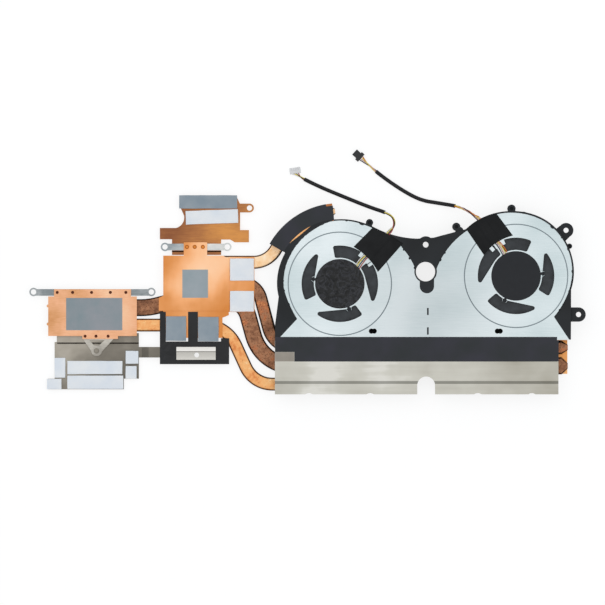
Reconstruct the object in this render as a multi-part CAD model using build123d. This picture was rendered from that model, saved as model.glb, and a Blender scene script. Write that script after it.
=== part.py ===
from build123d import *
import os
from math import acos, atan2, cos, degrees, radians, sin, tan

# A laptop's thermal module, lying with its motherboard side up. Lengths are in millimetres.
# X runs along the module towards the fans, Y across it and Z up, from the middle of its base.

# Levels, from the bottom-cover side up
base_sheet = 0.3
pipe_height = 2.8
plate_level = base_sheet + pipe_height
module_height = 12.0
cover_sheet = 0.3
tape_sheet = 0.12
spring_sheet = 0.6
spring_level = plate_level - spring_sheet
gap = 0.05

# Fan frame
left_fan = (19.0, 6.4)
right_fan = (122.1, 11.0)
floor_thickness = 1.0
wall_thickness = 0.9
lip_clearance = 0.15
back_plate = 0.5
plate_level_top = module_height - back_plate
intake_radius = 22.0
frame_left = -18.9
frame_right = 154.2
frame_front = -26.3
partition_x = 70.5
partition_width = 1.2
web_hole = (69.3, 29.3)
web_hole_radius = 1.7
web_boss_radius = 4.9
post_hole = (69.2, 13.5)
post_hole_radius = 5.7
post_rim = 0.9
tongue_x = 69.95
tongue_radius = 4.2
tongue_end = 0.8
pocket_wall = 1.2
ear_thickness = 2.5
ear_level = 8.0
ear_hole_radius = 1.5
upper_ear = (151.4, 37.7)
upper_ear_radius = 4.3
lower_ear = (158.7, -11.6)
lower_ear_radius = 4.2
screw_bosses = [((119.5, 50.4), (119.7, 48.0), 2.35), ((87.2, 39.8), (89.0, 37.4), 2.35),
                ((36.4, 42.2), (35.8, 40.2), 2.1), ((153.4, 28.4), (151.8, 27.6), 1.55)]
boss_dimple_radius = 1.0
boss_dimple_depth = 2.0

# Slots round each motor
hub_ring = 15.2
slot_outer = 22.4
slot_corner = 1.2
groove_radius = 30.2
groove_width = 0.5
groove_depth = 0.15
slit_width = 0.9
slits = [(-11.8, -7.8), (-23.3, -19.1)]
twin_holes = [(38.3, -21.3), (112.0, -21.3)]
twin_hole_radius = 1.5
twin_hole_pitch = 1.7

# Impeller and motor
blade_count = 61
blade_root = 21.0
blade_tip = 29.5
blade_lean = 13.0
blade_taper = 1.0
hub_radius = 13.8
hub_wall = 1.0
hub_floor = 1.6
blade_base = 1.8
blade_top = 10.6
skirt_radius = 23.0
skirt_sheet = 0.8
skirt_drop = 0.3
yoke_sheet = 0.6
magnet_outer = hub_radius - hub_wall - yoke_sheet - 2 * gap
magnet_thickness = 1.4
magnet_inner = magnet_outer - magnet_thickness
magnet_bottom = 4.4
magnet_top = 9.6
air_gap = 0.5
shaft_radius = 1.2
running_fit = 0.04
sleeve_radius = 2.6
sleeve_spigot = 2.0
sleeve_bottom = 3.6
thrust_pad = 0.4
stator_outer = magnet_inner - air_gap
stator_teeth = 6
stator_bottom = 5.4
stator_height = 3.2
tooth_width = 1.8
tooth_tip = 1.1
coil_build = 0.9
board_radius = hub_radius - hub_wall - 0.4
board_thickness = 0.6
label_radius = hub_ring - 0.7
label_sheet = 0.1

# Fin stacks and their covers
fin_front = -27.0
fin_back = -56.8
fin_left = -18.0
fin_right = 146.0
fin_pitch = 1.6
fin_sheet = 0.25
step_y = -50.5
step_end = -52.2
step_drop = 0.6
cover_left = -19.0
cover_right = 146.9
cover_edge = -58.3
notch_x = 69.5
notch_radius = 5.2
notch_centre = -53.1
edge_dents = [0.9, 36.7, 99.7, 131.4]
sheet_right = 152.4
sheet_tail = -46.4
arc_inner = 37.0
arc_fin_depth = 10.2
arc_outer = arc_inner + arc_fin_depth
arc_start = 95.5
arc_end = 150.0
arc_pitch = 2.0
tape_front = -24.7
tape_back = -39.1
tape_right = 146.1

# Heat pipes, flattened: width and the corners of each centre line with its bend radii
arc_pipe_width = 7.7
arc_pipe_radius = arc_inner + arc_fin_depth / 2 + 0.4
arc_pipe_bend = 14.8
gpu_pipe_width = 7.8
gpu_pipe_entry = (-29.7, 6.9)
gpu_pipe_corner = (-19.6, -30.9)
gpu_pipe_row = gpu_pipe_corner[1]
gpu_pipe_turn = atan2(gpu_pipe_entry[1] - gpu_pipe_row, gpu_pipe_corner[0] - gpu_pipe_entry[0])
gpu_bend = 15.0
pipe_clearance = 0.4
relief_level = plate_level + pipe_clearance
wide_pipe_width = 10.0
low_pipe_width = 7.6
wide_pipe_row = -41.7
low_pipe_row = -52.4
tip_length = 3.6
tip_width = 3.0
tip_height = 1.0

# Cold plates
cpu_thickness = 1.2
gpu_thickness = 1.5
shelf_thickness = 0.6
vrm_thickness = 0.8
shelf_level = plate_level + shelf_thickness
cpu_top = plate_level + cpu_thickness
gpu_top = plate_level + gpu_thickness
paste_film = 0.1
film_sheet = 0.15
ring_radius = 2.5
screw_hole = 1.55
ring_collar = 0.4
cpu_row = 1.6
cpu_screws = (-160.4, -91.4)
gpu_row = 28.0
gpu_screws = (-83.4, -46.9)
v_screw = (-123.5, -32.9)
clip_screw = (-64.8, -35.3)
clip_hole = 1.4
vrm_screw = (-33.9, 50.8)
vrm_ear_radius = 2.6
cpu_rivet_radius = 0.9
cpu_rivets = [(x, 1.35) for x in (-146.5, -137.5, -126.4, -115.4, -106.3)]
cpu_low_rivets = [(x, -24.3) for x in (-130.2, -123.8, -116.7)]
gpu_rivet_radius = 1.2
gpu_rivets = [(x, gpu_row) for x in (-70.5, -66.0, -61.2)]
rivet_recess = 0.3
bracket_sheet = 0.6
bracket_level = spring_level - bracket_sheet
arm_top = -30.6
arm_bottom = -36.8
pad_thickness = 1.2

# Leads
lead_diameter = 1.9
lead_floor = lead_diameter / 2
wire_diameter = 0.6
wire_pitch = 0.8
wire_tape_hump = 0.75

os.makedirs("parts", exist_ok=True)


def save(node, *solids):
    """Write one node, as one solid or as a group of separate ones."""
    shape = solids[0] if len(solids) == 1 else Compound(children=[s.solid() for s in solids])
    export_step(shape, f"parts/{node}.step")


def rectangle(left, right, bottom, top):
    """A flat rectangle between two X and two Y values."""
    return Pos((left + right) / 2, (bottom + top) / 2) * Rectangle(right - left, top - bottom)


def disc(place, radius):
    return Pos(*place) * Circle(radius)


def outline(*points):
    return make_face(Polyline(*points, close=True))


def slab(face, bottom, top):
    """A flat shape between two levels."""
    return extrude(Pos(0, 0, bottom) * face, amount=top - bottom)


def around(centre, angle, radius):
    """A point at an angle in degrees and a distance from a fan's centre."""
    turn = radians(angle)
    return (centre[0] + radius * cos(turn), centre[1] + radius * sin(turn))


def scroll(centre, stations):
    """A smooth volute edge through its angle and radius at a few stations."""
    return Spline(*[around(centre, angle, radius) for angle, radius in stations])


def sector(centre, inner, outer, start, end):
    """Part of a ring between two angles."""
    middle = (start + end) / 2
    far = ThreePointArc(*[around(centre, a, outer) for a in (start, middle, end)])
    near = ThreePointArc(*[around(centre, a, inner) for a in (end, middle, start)])
    return make_face([far, Line(far @ 1, near @ 0), near, Line(near @ 1, far @ 0)])


# Fan frame: both blowers' walls, floors and ears are one black moulding.

# The volutes' inner edges, as angles and radii round each fan, and the web's two edges between them
left_volute = [(219.5, 32.4), (200, 31.9), (182, 33.0), (161, 34.6), (142, 36.1), (118, 36.4), (90, 37.0),
               (66, 37.4), (45, 39.2)]
left_web = [(36.9, 42.0), (30.1, 42.1), (18.8, 43.9), (9.7, 45.2)]
right_web = [(176.3, 47.0), (163.0, 44.0), (137, 39.0)]
right_volute = [(137, 39.0), (115, 38.2), (94.5, 37.1), (60, 35.8), (30, 34.2), (0, 32.7), (-24, 31.9),
                (-47.2, 32.6)]
throat_left = -17.3
throat_right = 153.2
cutoff_slant = 1.8
outlet_left = -15.8
outlet_right = 151.8


def blower_face(inset):
    """Both volutes' outline, moved inwards. Each cut-off corner moves round as well, as its throat slants."""
    turns = [inset * cutoff_slant] + [0] * (len(left_volute) - 1)
    left = scroll(left_fan, [(a + turn, r - inset) for (a, r), turn in zip(left_volute, turns)])
    turns = [0] * (len(right_volute) - 1) + [inset * cutoff_slant]
    right = scroll(right_fan, [(a - turn, r - inset) for (a, r), turn in zip(right_volute, turns)])
    corner, *bend = [around(left_fan, a, r - inset) for a, r in left_web]
    web_left = ThreePointArc(*bend)
    web_right = ThreePointArc(*[around(right_fan, a, r - inset) for a, r in right_web])
    front = (throat_left + 1.3 * inset, frame_front)
    back = (throat_right - 1.3 * inset, frame_front)
    face = make_face([Line(front, left @ 0), left, Line(left @ 1, corner), Line(corner, web_left @ 0), web_left,
                      Line(web_left @ 1, web_right @ 0), web_right, right, Line(right @ 1, back), Line(back, front)])
    half = tongue_radius + inset
    tongue = disc((tongue_x, tongue_end + tongue_radius), half)
    tongue += rectangle(tongue_x - half, tongue_x + half, tongue_end + tongue_radius, post_hole[1])
    return face - tongue - disc(post_hole, post_hole_radius + post_rim + inset)


left_rim = scroll(left_fan, [(192, 36.6), (170, 36.8), (145, 36.8), (118, 37.1), (90, 37.8),
                             (70, 38.2), (58, 38.7)])
right_rim = scroll(right_fan, [(137, 40.1), (122, 39.5), (94.5, 38.1), (60, 36.9), (30, 35.2),
                               (0, 33.8), (-14, 33.2)])
web_top_left = ThreePointArc(left_rim @ 1, (50.5, 34.9), (64.1, 32.8))
web_top_right = ThreePointArc((74.0, 33.4), (84.4, 36.2), right_rim @ 0)
frame_face = make_face([
    Line((frame_left, frame_front), (frame_left, -17.7)), Line((frame_left, -17.7), left_rim @ 0),
    left_rim, web_top_left, Line(web_top_left @ 1, web_top_right @ 0), web_top_right, right_rim,
    Line(right_rim @ 1, (frame_right, frame_front)),
    Line((frame_right, frame_front), (frame_left, frame_front))])
frame_face += disc(web_hole, web_boss_radius)

partition = rectangle(partition_x - partition_width / 2, partition_x + partition_width / 2,
                      frame_front - 1, post_hole[1])
outlets = rectangle(outlet_left, outlet_right, frame_front - 1, frame_front + 2)
chamber_face = blower_face(wall_thickness) + outlets - partition

seat_face = blower_face(-lip_clearance)
upper_arm = outline((143.6, 37.0), (148.2, 40.6), (155.2, 35.6), (150.2, 30.6))
lower_arm = rectangle(frame_right - 1, lower_ear[0], lower_ear[1] - lower_ear_radius, lower_ear[1] + lower_ear_radius)
ears = disc(upper_ear, upper_ear_radius) + upper_arm + disc(lower_ear, lower_ear_radius) + lower_arm

frame = slab(frame_face, 0, module_height)
frame += slab(ears, ear_level, ear_level + ear_thickness)
for place, root, radius in screw_bosses:
    frame += slab(disc(place, radius) + disc(root, radius), 0, plate_level_top)
frame -= slab(chamber_face, floor_thickness, module_height + 1)
frame -= slab(seat_face, plate_level_top, module_height + 1)
for fan in (left_fan, right_fan):
    frame -= slab(disc(fan, intake_radius), -1, floor_thickness + 1)
frame -= slab(sector(left_fan, arc_inner - 4, arc_inner + 3, arc_start + 1.5, arc_end - 1.5),
              floor_thickness, module_height + 1)
frame -= slab(sector(left_fan, arc_inner - gap, arc_outer, arc_start - 0.3, arc_end + 0.3),
              plate_level - gap, module_height + 1)

# The web is hollow underneath, round its two holes
web_pocket = outline((49.5, 32.8), (56.5, 29.8), (60.5, 24.5), (62.5, 21.0), (76.5, 21.0), (79.5, 26.5),
                     (86.0, 34.8), (76.0, 32.0), (62.0, 31.6))
web_pocket -= disc(web_hole, web_boss_radius - pocket_wall)
frame -= slab(web_pocket, -1, module_height - pocket_wall)

for place, root, radius in screw_bosses:
    frame -= slab(disc(place, boss_dimple_radius), plate_level_top - boss_dimple_depth, plate_level_top)
for low, high in slits:
    frame += slab(rectangle(partition_x - slit_width / 2, partition_x + slit_width / 2, low, high),
                  plate_level_top - 1, module_height)
for place, radius in ((web_hole, web_hole_radius), (post_hole, post_hole_radius),
                      (upper_ear, ear_hole_radius), (lower_ear, ear_hole_radius)):
    frame -= slab(disc(place, radius), -1, module_height + 1)

# The frame's corner is raised over the bend of the pipe that passes under it
relief_centre = (gpu_pipe_corner[0] + gpu_bend * tan(gpu_pipe_turn / 2), gpu_pipe_row + gpu_bend)
relief_face = rectangle(frame_left, relief_centre[0], frame_front, relief_centre[1])
relief_face -= disc(relief_centre, gpu_bend - gpu_pipe_width / 2 - pipe_clearance)
frame += slab(relief_face & frame_face, relief_level, relief_level + floor_thickness)
frame -= slab(relief_face, -1, relief_level)
save("fan_frame", frame)

# Back plate: one pressed sheet closes both blowers and carries both motors.


def intake_slot(centre, blunt, narrow):
    """A slot round a motor: blunt at one end, its inner edge leaving the hub ring for the other."""
    turn = 1 if narrow > blunt else -1
    vertex = narrow + turn * 5.5
    leave = vertex - turn * degrees(acos(hub_ring / slot_outer))
    far = ThreePointArc(*[around(centre, a, slot_outer) for a in (blunt, (blunt + vertex) / 2, vertex)])
    near = ThreePointArc(*[around(centre, a, hub_ring) for a in (leave, (blunt + leave) / 2, blunt)])
    face = make_face([far, Line(far @ 1, near @ 0), near, Line(near @ 1, far @ 0)])
    smooth = near @ 0
    return fillet([v for v in face.vertices() if (Vector(v) - smooth).length > slot_corner], slot_corner)


def square_slot(centre, blunt, end):
    """The slot that the motor's wires cross keeps its width to a square end."""
    return fillet(sector(centre, hub_ring, slot_outer, min(blunt, end), max(blunt, end)).vertices(), slot_corner)


left_slots = [(205.7, 128.3), (306.4, 233.6), (38.0, -27.1)]
right_slots = [(-32.0, 36.8), (220.6, 299.7), (125.0, 189.6)]
plate_cuts = square_slot(left_fan, 100.7, 48.0) + square_slot(right_fan, 65.8, 115.0)
for blunt, narrow in left_slots:
    plate_cuts += intake_slot(left_fan, blunt, narrow)
for blunt, narrow in right_slots:
    plate_cuts += intake_slot(right_fan, blunt, narrow)
for low, high in slits:
    plate_cuts += rectangle(partition_x - slit_width / 2 - gap, partition_x + slit_width / 2 + gap,
                            low - gap, high + gap)
for x, y in twin_holes:
    for side in (-1, 1):
        plate_cuts += disc((x + side * twin_hole_pitch / 2, y), twin_hole_radius)
for fan in (left_fan, right_fan):
    plate_cuts += disc(fan, sleeve_spigot)

plate = slab(blower_face(0) - plate_cuts, plate_level_top, module_height)
for fan in (left_fan, right_fan):
    ring = disc(fan, groove_radius + groove_width / 2) - disc(fan, groove_radius - groove_width / 2)
    plate -= slab(ring, module_height - groove_depth, module_height + 1)
save("fan_back_plate", plate)

# Impellers: a cup whose rim flares into a skirt, which carries thin leaning blades round its edge.
# The left one turns clockwise seen from above, and the right one the other way.


def impeller(centre, hand):
    rim = blade_top - skirt_drop
    cup = slab(Circle(hub_radius), hub_floor, rim)
    cup -= slab(Circle(hub_radius - hub_wall), hub_floor + hub_wall, blade_top)
    cup -= slab(Circle(shaft_radius), hub_floor + hub_wall / 2, hub_floor + 2 * hub_wall)
    skirt = slab(Circle(skirt_radius) - Circle(hub_radius - hub_wall), rim - skirt_sheet, rim)
    front = [around((0, 0), hand * blade_lean * share, blade_root + (blade_tip - blade_root) * along)
             for along, share in ((0, 0), (0.5, 0.4), (1, 1))]
    back = [Vector(*p).rotate(Axis.Z, hand * blade_taper) for p in reversed(front)]
    blade = slab(outline(*front, *back), blade_base, blade_top)
    blades = [Rot(0, 0, 360 * (k + 0.5) / blade_count) * blade for k in range(blade_count)]
    return Pos(*centre) * cup.fuse(skirt, *blades)


def rotor_yoke():
    """The steel cup that closes the magnet's field."""
    outer = hub_radius - hub_wall - gap
    base = hub_floor + hub_wall + gap
    cup = slab(Circle(outer), base, blade_top - 0.4)
    cup -= slab(Circle(outer - yoke_sheet), base + yoke_sheet, blade_top)
    return cup - slab(Circle(shaft_radius + running_fit / 2), base - 1, base + 1)


def stator_core():
    """A stack of laminations: a ring with teeth that widen to curved tips."""
    face = Circle(sleeve_radius + 1.8) - Circle(sleeve_radius + gap)
    tips = Circle(stator_outer) - Circle(stator_outer - tooth_tip)
    for k in range(stator_teeth):
        turn = Rot(0, 0, 360 * k / stator_teeth)
        face += turn * rectangle(sleeve_radius + 1, stator_outer - tooth_tip / 2, -tooth_width / 2, tooth_width / 2)
        tips -= Rot(0, 0, 360 * (k + 0.5) / stator_teeth) * rectangle(0, stator_outer + 1, -0.9, 0.9)
    return slab(face + tips, stator_bottom, stator_bottom + stator_height)


def stator_coil():
    """One winding round the tooth that points along X."""
    start = sleeve_radius + 1.8 + 0.4
    end = stator_outer - tooth_tip - 0.3
    inner = (tooth_width / 2 + gap, stator_height / 2 + gap)
    outer_box = Box(end - start, 2 * (inner[0] + coil_build), 2 * (inner[1] + coil_build))
    outer_box = chamfer(outer_box.edges().filter_by(Axis.X), coil_build * 0.6)
    coil = outer_box - Box(end - start + 1, 2 * inner[0], 2 * inner[1])
    return Pos((start + end) / 2, 0, stator_bottom + stator_height / 2) * coil


def bearing_sleeve():
    """A brass sleeve, pressed into the back plate, closed at the plate by the thrust pad."""
    sleeve = slab(Circle(sleeve_radius), sleeve_bottom, plate_level_top)
    sleeve += slab(Circle(sleeve_spigot - 0.01), plate_level_top, module_height)
    return sleeve - slab(Circle(shaft_radius + running_fit), sleeve_bottom - 1, plate_level_top)


rotor_base = hub_floor + hub_wall / 2
shaft_top = plate_level_top - thrust_pad - gap
shaft = slab(Circle(shaft_radius - 0.005), rotor_base + gap, shaft_top)
magnet = slab(Circle(magnet_outer) - Circle(magnet_inner), magnet_bottom, magnet_top)
pad_disc = slab(Circle(shaft_radius), plate_level_top - thrust_pad, plate_level_top)
board = slab(Circle(board_radius) - Circle(sleeve_radius + gap), plate_level_top - board_thickness, plate_level_top)
label = slab(Circle(label_radius), module_height, module_height + label_sheet)
coils = [Rot(0, 0, 360 * k / stator_teeth) * stator_coil() for k in range(stator_teeth)]

for side, fan, hand in (("left", left_fan, 1), ("right", right_fan, -1)):
    here = Pos(*fan)
    save(f"impeller_{side}", impeller(fan, hand))
    save(f"rotor_yoke_{side}", here * rotor_yoke())
    save(f"rotor_magnet_{side}", here * magnet)
    save(f"rotor_shaft_{side}", here * shaft)
    save(f"stator_core_{side}", here * stator_core())
    save(f"stator_coils_{side}", *[here * coil for coil in coils])
    save(f"motor_board_{side}", here * board)
    save(f"bearing_sleeve_{side}", here * bearing_sleeve())
    save(f"thrust_pad_{side}", here * pad_disc)
    save(f"motor_label_{side}", here * label)

# Wires: four run from each motor's label under a black tape to the frame's edge, then leave as a lead.


def wire_row(start, end):
    """Four wires side by side on the back plate."""
    run = Vector(*end) - Vector(*start)
    heading = degrees(atan2(run.Y, run.X))
    wire = Rot(0, 90, 0) * Cylinder(wire_diameter / 2, run.length, align=(Align.CENTER, Align.CENTER, Align.MIN))
    place = Pos(start[0], start[1], module_height + wire_diameter / 2) * Rot(0, 0, heading)
    return [place * Pos(0, (k - 1.5) * wire_pitch, 0) * wire for k in range(4)]


def wire_tape(corners, start, end):
    """A tape that lies flat on the plate and rises over the wires."""
    run = Vector(*end) - Vector(*start)
    heading = degrees(atan2(run.Y, run.X))
    half = 2 * wire_pitch + 0.15
    top = [(-half - 0.8, tape_sheet), (-half, wire_tape_hump), (half, wire_tape_hump), (half + 0.8, tape_sheet)]
    low = [(half + 0.8 - 0.08, 0), (half - 0.06, wire_tape_hump - tape_sheet),
           (-half + 0.06, wire_tape_hump - tape_sheet), (-half - 0.8 + 0.08, 0)]
    wing = 30
    section = [(-wing, 0), (-wing, tape_sheet)] + top + [(wing, tape_sheet), (wing, 0)] + low
    profile = make_face(Plane.YZ * Polyline(*section, close=True))
    strip = Pos(start[0], start[1], module_height) * Rot(0, 0, heading) * Pos(-15, 0, 0) * extrude(
        profile, amount=60, dir=(1, 0, 0))
    return strip & slab(outline(*corners), module_height - 1, module_height + 5)


left_wires = ((30.0, 16.9), (47.4, 35.0))
right_wires = ((114.9, 24.6), (100.9, 43.7))
left_tape = [(37.8, 38.9), (55.6, 29.6), (41.3, 13.3), (27.0, 28.0)]
right_tape = [(93.2, 38.0), (111.1, 46.9), (120.3, 34.6), (103.3, 23.2)]
save("motor_wires_left", *wire_row(*left_wires))
save("motor_wires_right", *wire_row(*right_wires))
save("wire_tape_left", wire_tape(left_tape, *left_wires))
save("wire_tape_right", wire_tape(right_tape, *right_wires))


def lead(route):
    """A lead's sleeve along its route: straight runs joined by the widest arcs that they allow."""
    points = [Vector(*p) for p in route]
    radii = []
    for before, here, after in zip(points, points[1:], points[2:]):
        turn = (here - before).get_angle(after - here)
        run = min((here - before).length, (after - here).length)
        radii.append(0.45 * run / tan(radians(turn) / 2))
    path = FilletPolyline(*points, radius=radii)
    section = Plane(path @ 0, z_dir=path % 0) * RegularPolygon(lead_diameter / 2, 8)
    tube = sweep(section, path=path)
    print("lead", round(path.length, 1), "radii", [round(r, 1) for r in radii],
          "volume ratio", round(tube.volume / (path.length * section.area), 4))
    return tube


left_route = [
    (48.0, 36.9, 12.2), (49.8, 38.6, 12.0), (50.9, 40.9, 11.4), (50.8, 43.4, 10.5), (49.6, 45.7, 9.3),
    (47.3, 47.4, 7.8), (43.6, 48.9, 5.8), (39.4, 50.3, 3.6), (34.8, 52.0, 1.9), (29.4, 54.1, 1.0),
    (20.6, 57.7, lead_floor), (9.6, 62.2, lead_floor), (-0.6, 67.0, lead_floor), (-5.9, 69.9, lead_floor)]
right_route = [
    (100.0, 44.6, 12.2), (96.4, 47.4, 11.8), (92.6, 49.7, 10.2), (89.0, 51.3, 7.4), (85.0, 52.3, 4.4),
    (80.3, 53.1, 2.0), (74.9, 54.0, 1.0), (69.0, 54.9, lead_floor), (63.2, 57.0, lead_floor),
    (56.2, 60.9, lead_floor), (47.4, 66.7, lead_floor), (38.8, 73.3, lead_floor), (31.6, 80.0, lead_floor)]
save("lead_left", lead(left_route))
save("lead_right", lead(right_route))

# Plugs on the leads: a white one in line with the module, and a black one in line with its lead.
plug_height = 2 * lead_floor
white_plug = Box(6.4, 3.5, plug_height, align=(Align.CENTER, Align.MIN, Align.MIN))
white_plug = chamfer(white_plug.edges().group_by(Axis.Z)[-1], 0.25)
for k in range(4):
    white_plug -= Pos((k - 1.5) * 1.25, 2.4, plug_height) * Box(0.6, 1.4, 0.8)
save("connector_left", Pos(-6.9, 71.0, 0) * Rot(0, 0, 9) * white_plug)

plug_turn = degrees(atan2(right_route[-1][1] - right_route[-2][1], right_route[-1][0] - right_route[-2][0]))
black_plug = Pos(gap, 0, 0) * Box(2.2, 5.8, plug_height, align=(Align.MIN, Align.CENTER, Align.MIN))
black_plug += Pos(2.0, 0, 0) * Box(3.4, 4.1, plug_height, align=(Align.MIN, Align.CENTER, Align.MIN))
for k in range(4):
    black_plug -= Pos(4.8, (k - 1.5) * 0.95, plug_height / 2) * Box(1.4, 0.5, 0.8)
save("connector_right", Pos(right_route[-1][0], right_route[-1][1], 0) * Rot(0, 0, plug_turn) * black_plug)

# Heat pipes: flattened tubes with both ends drawn down and pinched shut.


def pipe_section(width, height):
    return fillet(Rectangle(width, height).vertices(), height / 2 - 0.02)


def heat_pipe(width, path):
    """A flattened tube along a flat path, with a drawn tip at each end."""
    level = base_sheet + pipe_height / 2
    path = Pos(0, 0, level) * path
    start = Plane(path @ 0, x_dir=(path % 0).cross(Vector(0, 0, 1)), z_dir=path % 0)
    body = sweep(start * pipe_section(width, pipe_height), path=path)
    for at, out in ((path @ 0, path % 0 * -1), (path @ 1, path % 1)):
        across = out.cross(Vector(0, 0, 1))
        root = Plane(at, x_dir=across, z_dir=out)
        end = Plane(at + out * tip_length, x_dir=across, z_dir=out)
        body += loft([root * pipe_section(width, pipe_height), end * pipe_section(tip_width, tip_height)],
                     ruled=True)
    return body


pipe_start = -76.0
pipe_end = 149.0
arc_pipe_row = 19.0
arc_pipe_join = 149
arc_pipe_rise = radians(arc_pipe_join - 90)
arc_start_point = around(left_fan, arc_pipe_join, arc_pipe_radius)
arc_corner = (arc_start_point[0] - (arc_start_point[1] - arc_pipe_row) / tan(arc_pipe_rise), arc_pipe_row)
arc_reach = (Vector(*arc_start_point) - Vector(*arc_corner)).length
arc_lead = FilletPolyline((pipe_start, arc_pipe_row), arc_corner, arc_start_point,
                          radius=min(arc_pipe_bend, 0.95 * arc_reach / tan(arc_pipe_rise / 2)))
arc_turn = ThreePointArc(*[around(left_fan, a, arc_pipe_radius) for a in (arc_pipe_join, 123, arc_start + 3)])
save("heat_pipe_arc", heat_pipe(arc_pipe_width, arc_lead + arc_turn))
save("heat_pipe_gpu", heat_pipe(gpu_pipe_width, FilletPolyline(
    (pipe_start, gpu_pipe_entry[1]), gpu_pipe_entry, gpu_pipe_corner, (pipe_end, gpu_pipe_row),
    radius=[12.0, gpu_bend])))
save("heat_pipe_wide", heat_pipe(wide_pipe_width, FilletPolyline(
    (-146.0, -7.6), (-93.0, -7.6), (-72.0, -2.4), (-37.5, -2.4), (-26.7, wide_pipe_row),
    (pipe_end, wide_pipe_row), radius=[40, 40, 14, 24])))
save("heat_pipe_low", heat_pipe(low_pipe_width, FilletPolyline(
    (-146.0, -17.8), (-47.3, -17.8), (-31.5, low_pipe_row), (58.0, low_pipe_row), radius=[20, 17])))

# Fins: zipped sheets, soldered on the pipes, with their folded edges as floor and roof.


def notch(extra):
    """The arch that lets a post of the laptop's case stand at the outlet."""
    reach = notch_radius + extra
    return disc((notch_x, notch_centre), reach) + rectangle(
        notch_x - reach, notch_x + reach, cover_edge - 1, notch_centre)


def fin_block(front, back, top):
    """Straight channels along Y between two rows."""
    height = top - plate_level
    width = fin_right - fin_left
    count = round((width - fin_sheet) / fin_pitch)
    channel = (width - fin_sheet) / count - fin_sheet
    face = Rectangle(width, height)
    face -= GridLocations(channel + fin_sheet, 1, count, 1) * Rectangle(channel, height - 2 * fin_sheet)
    face = Pos((fin_left + fin_right) / 2, front, (plate_level + top) / 2) * Rot(90, 0, 0) * face
    return extrude(face, amount=front - back, dir=(0, -1, 0))


fin_top = module_height - cover_sheet
fins = fin_block(fin_front, step_y, fin_top) + fin_block(step_y, fin_back, fin_top - step_drop)
fins -= slab(notch(0.4), 0, module_height)
save("fin_stack", fins)

arc_fins = slab(sector(left_fan, arc_inner, arc_outer, arc_start, arc_end), plate_level, module_height)
arc_count = int((arc_end - arc_start) / arc_pitch)
arc_channel = radians(arc_pitch) * (arc_inner + arc_outer) / 2 - fin_sheet
channels = []
for k in range(arc_count):
    angle = arc_start + (arc_end - arc_start) * (k + 0.5) / arc_count
    middle = around(left_fan, angle, (arc_inner + arc_outer) / 2)
    channels.append(Pos(*middle, (plate_level + module_height) / 2) * Rot(0, 0, angle)
                    * Box(arc_outer - arc_inner + 4, arc_channel, module_height - plate_level - 2 * fin_sheet))
save("arc_fin_stack", arc_fins.cut(*channels))

# Nickel-plated cover: pressed down in a step before the outlet, over both fans' fins.
cover_section = [(fin_front, module_height), (step_y, module_height), (step_end, module_height - step_drop),
                 (cover_edge, module_height - step_drop), (cover_edge, module_height - step_drop - cover_sheet),
                 (step_end - 0.1, module_height - step_drop - cover_sheet), (step_y - 0.1, fin_top),
                 (fin_front, fin_top)]
cover = extrude(Pos(cover_left, 0, 0) * make_face(Plane.YZ * Polyline(*cover_section, close=True)),
                amount=cover_right - cover_left, dir=(1, 0, 0))
cover -= slab(notch(0), 0, module_height + 1)
for x in edge_dents:
    cover -= slab(disc((x, cover_edge - 2.8), 3.5), 0, module_height + 1)
save("outlet_cover", cover)

sheet_face = rectangle(fin_left - 0.5, cover_right, fin_back, frame_front - 0.2)
sheet_face += rectangle(cover_right, sheet_right, sheet_tail, frame_front - 0.2)
save("base_sheet", slab(sheet_face - notch(0.4), 0, base_sheet))

tape = rectangle(frame_left, tape_right, tape_back, tape_front)
tape -= rectangle(frame_left - 1, -7.6, tape_back - 1, -33.5)
save("gap_tape_main", slab(tape, module_height, module_height + tape_sheet))
arc_tape = sector(left_fan, arc_inner + 0.5, arc_outer + 0.1, arc_start + 4.5, arc_end + 0.4)
arc_tape += sector(left_fan, arc_inner + 0.5, arc_outer - 1.3, arc_start - 0.4, arc_start + 5)
save("gap_tape_arc", slab(arc_tape, module_height, module_height + tape_sheet))

# Cold plates: flat copper, soldered on the pipes.
cpu_face = rectangle(-151.8, -99.9, -24.2, -1.0) + rectangle(-148.4, -103.3, -2.0, 3.2)
cpu_face += rectangle(-131.8, -110.9, -25.9, -23.0)
for y in (-6.6, -17.2):
    cpu_face += disc((-151.8, y), 0.9)
cpu_holes = [disc(place, cpu_rivet_radius) for place in cpu_rivets + cpu_low_rivets]
for hole in cpu_holes:
    cpu_face -= hole
save("cpu_cold_plate", slab(cpu_face, plate_level, cpu_top))

gpu_face = outline((-84.4, 22.9), (-72.4, 22.9), (-72.4, 30.7), (-58.7, 30.7), (-58.7, 22.9), (-49.5, 22.9),
                   (-45.8, 21.0), (-45.8, -9.4), (-87.0, -9.4), (-87.0, -1.8), (-84.4, -0.6))
for place in gpu_rivets:
    gpu_face -= disc(place, gpu_rivet_radius)
gpu_plate = slab(gpu_face, plate_level, gpu_top)
gpu_plate += slab(rectangle(-46.0, -31.0, -10.1, 22.1), plate_level, shelf_level)
gpu_plate += slab(outline((-84.4, -9.0), (-46.0, -9.0), (-46.0, -12.0), (-49.7, -13.5), (-49.7, -25.3),
                          (-84.4, -25.3)), plate_level, shelf_level)
save("gpu_cold_plate", gpu_plate)

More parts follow.
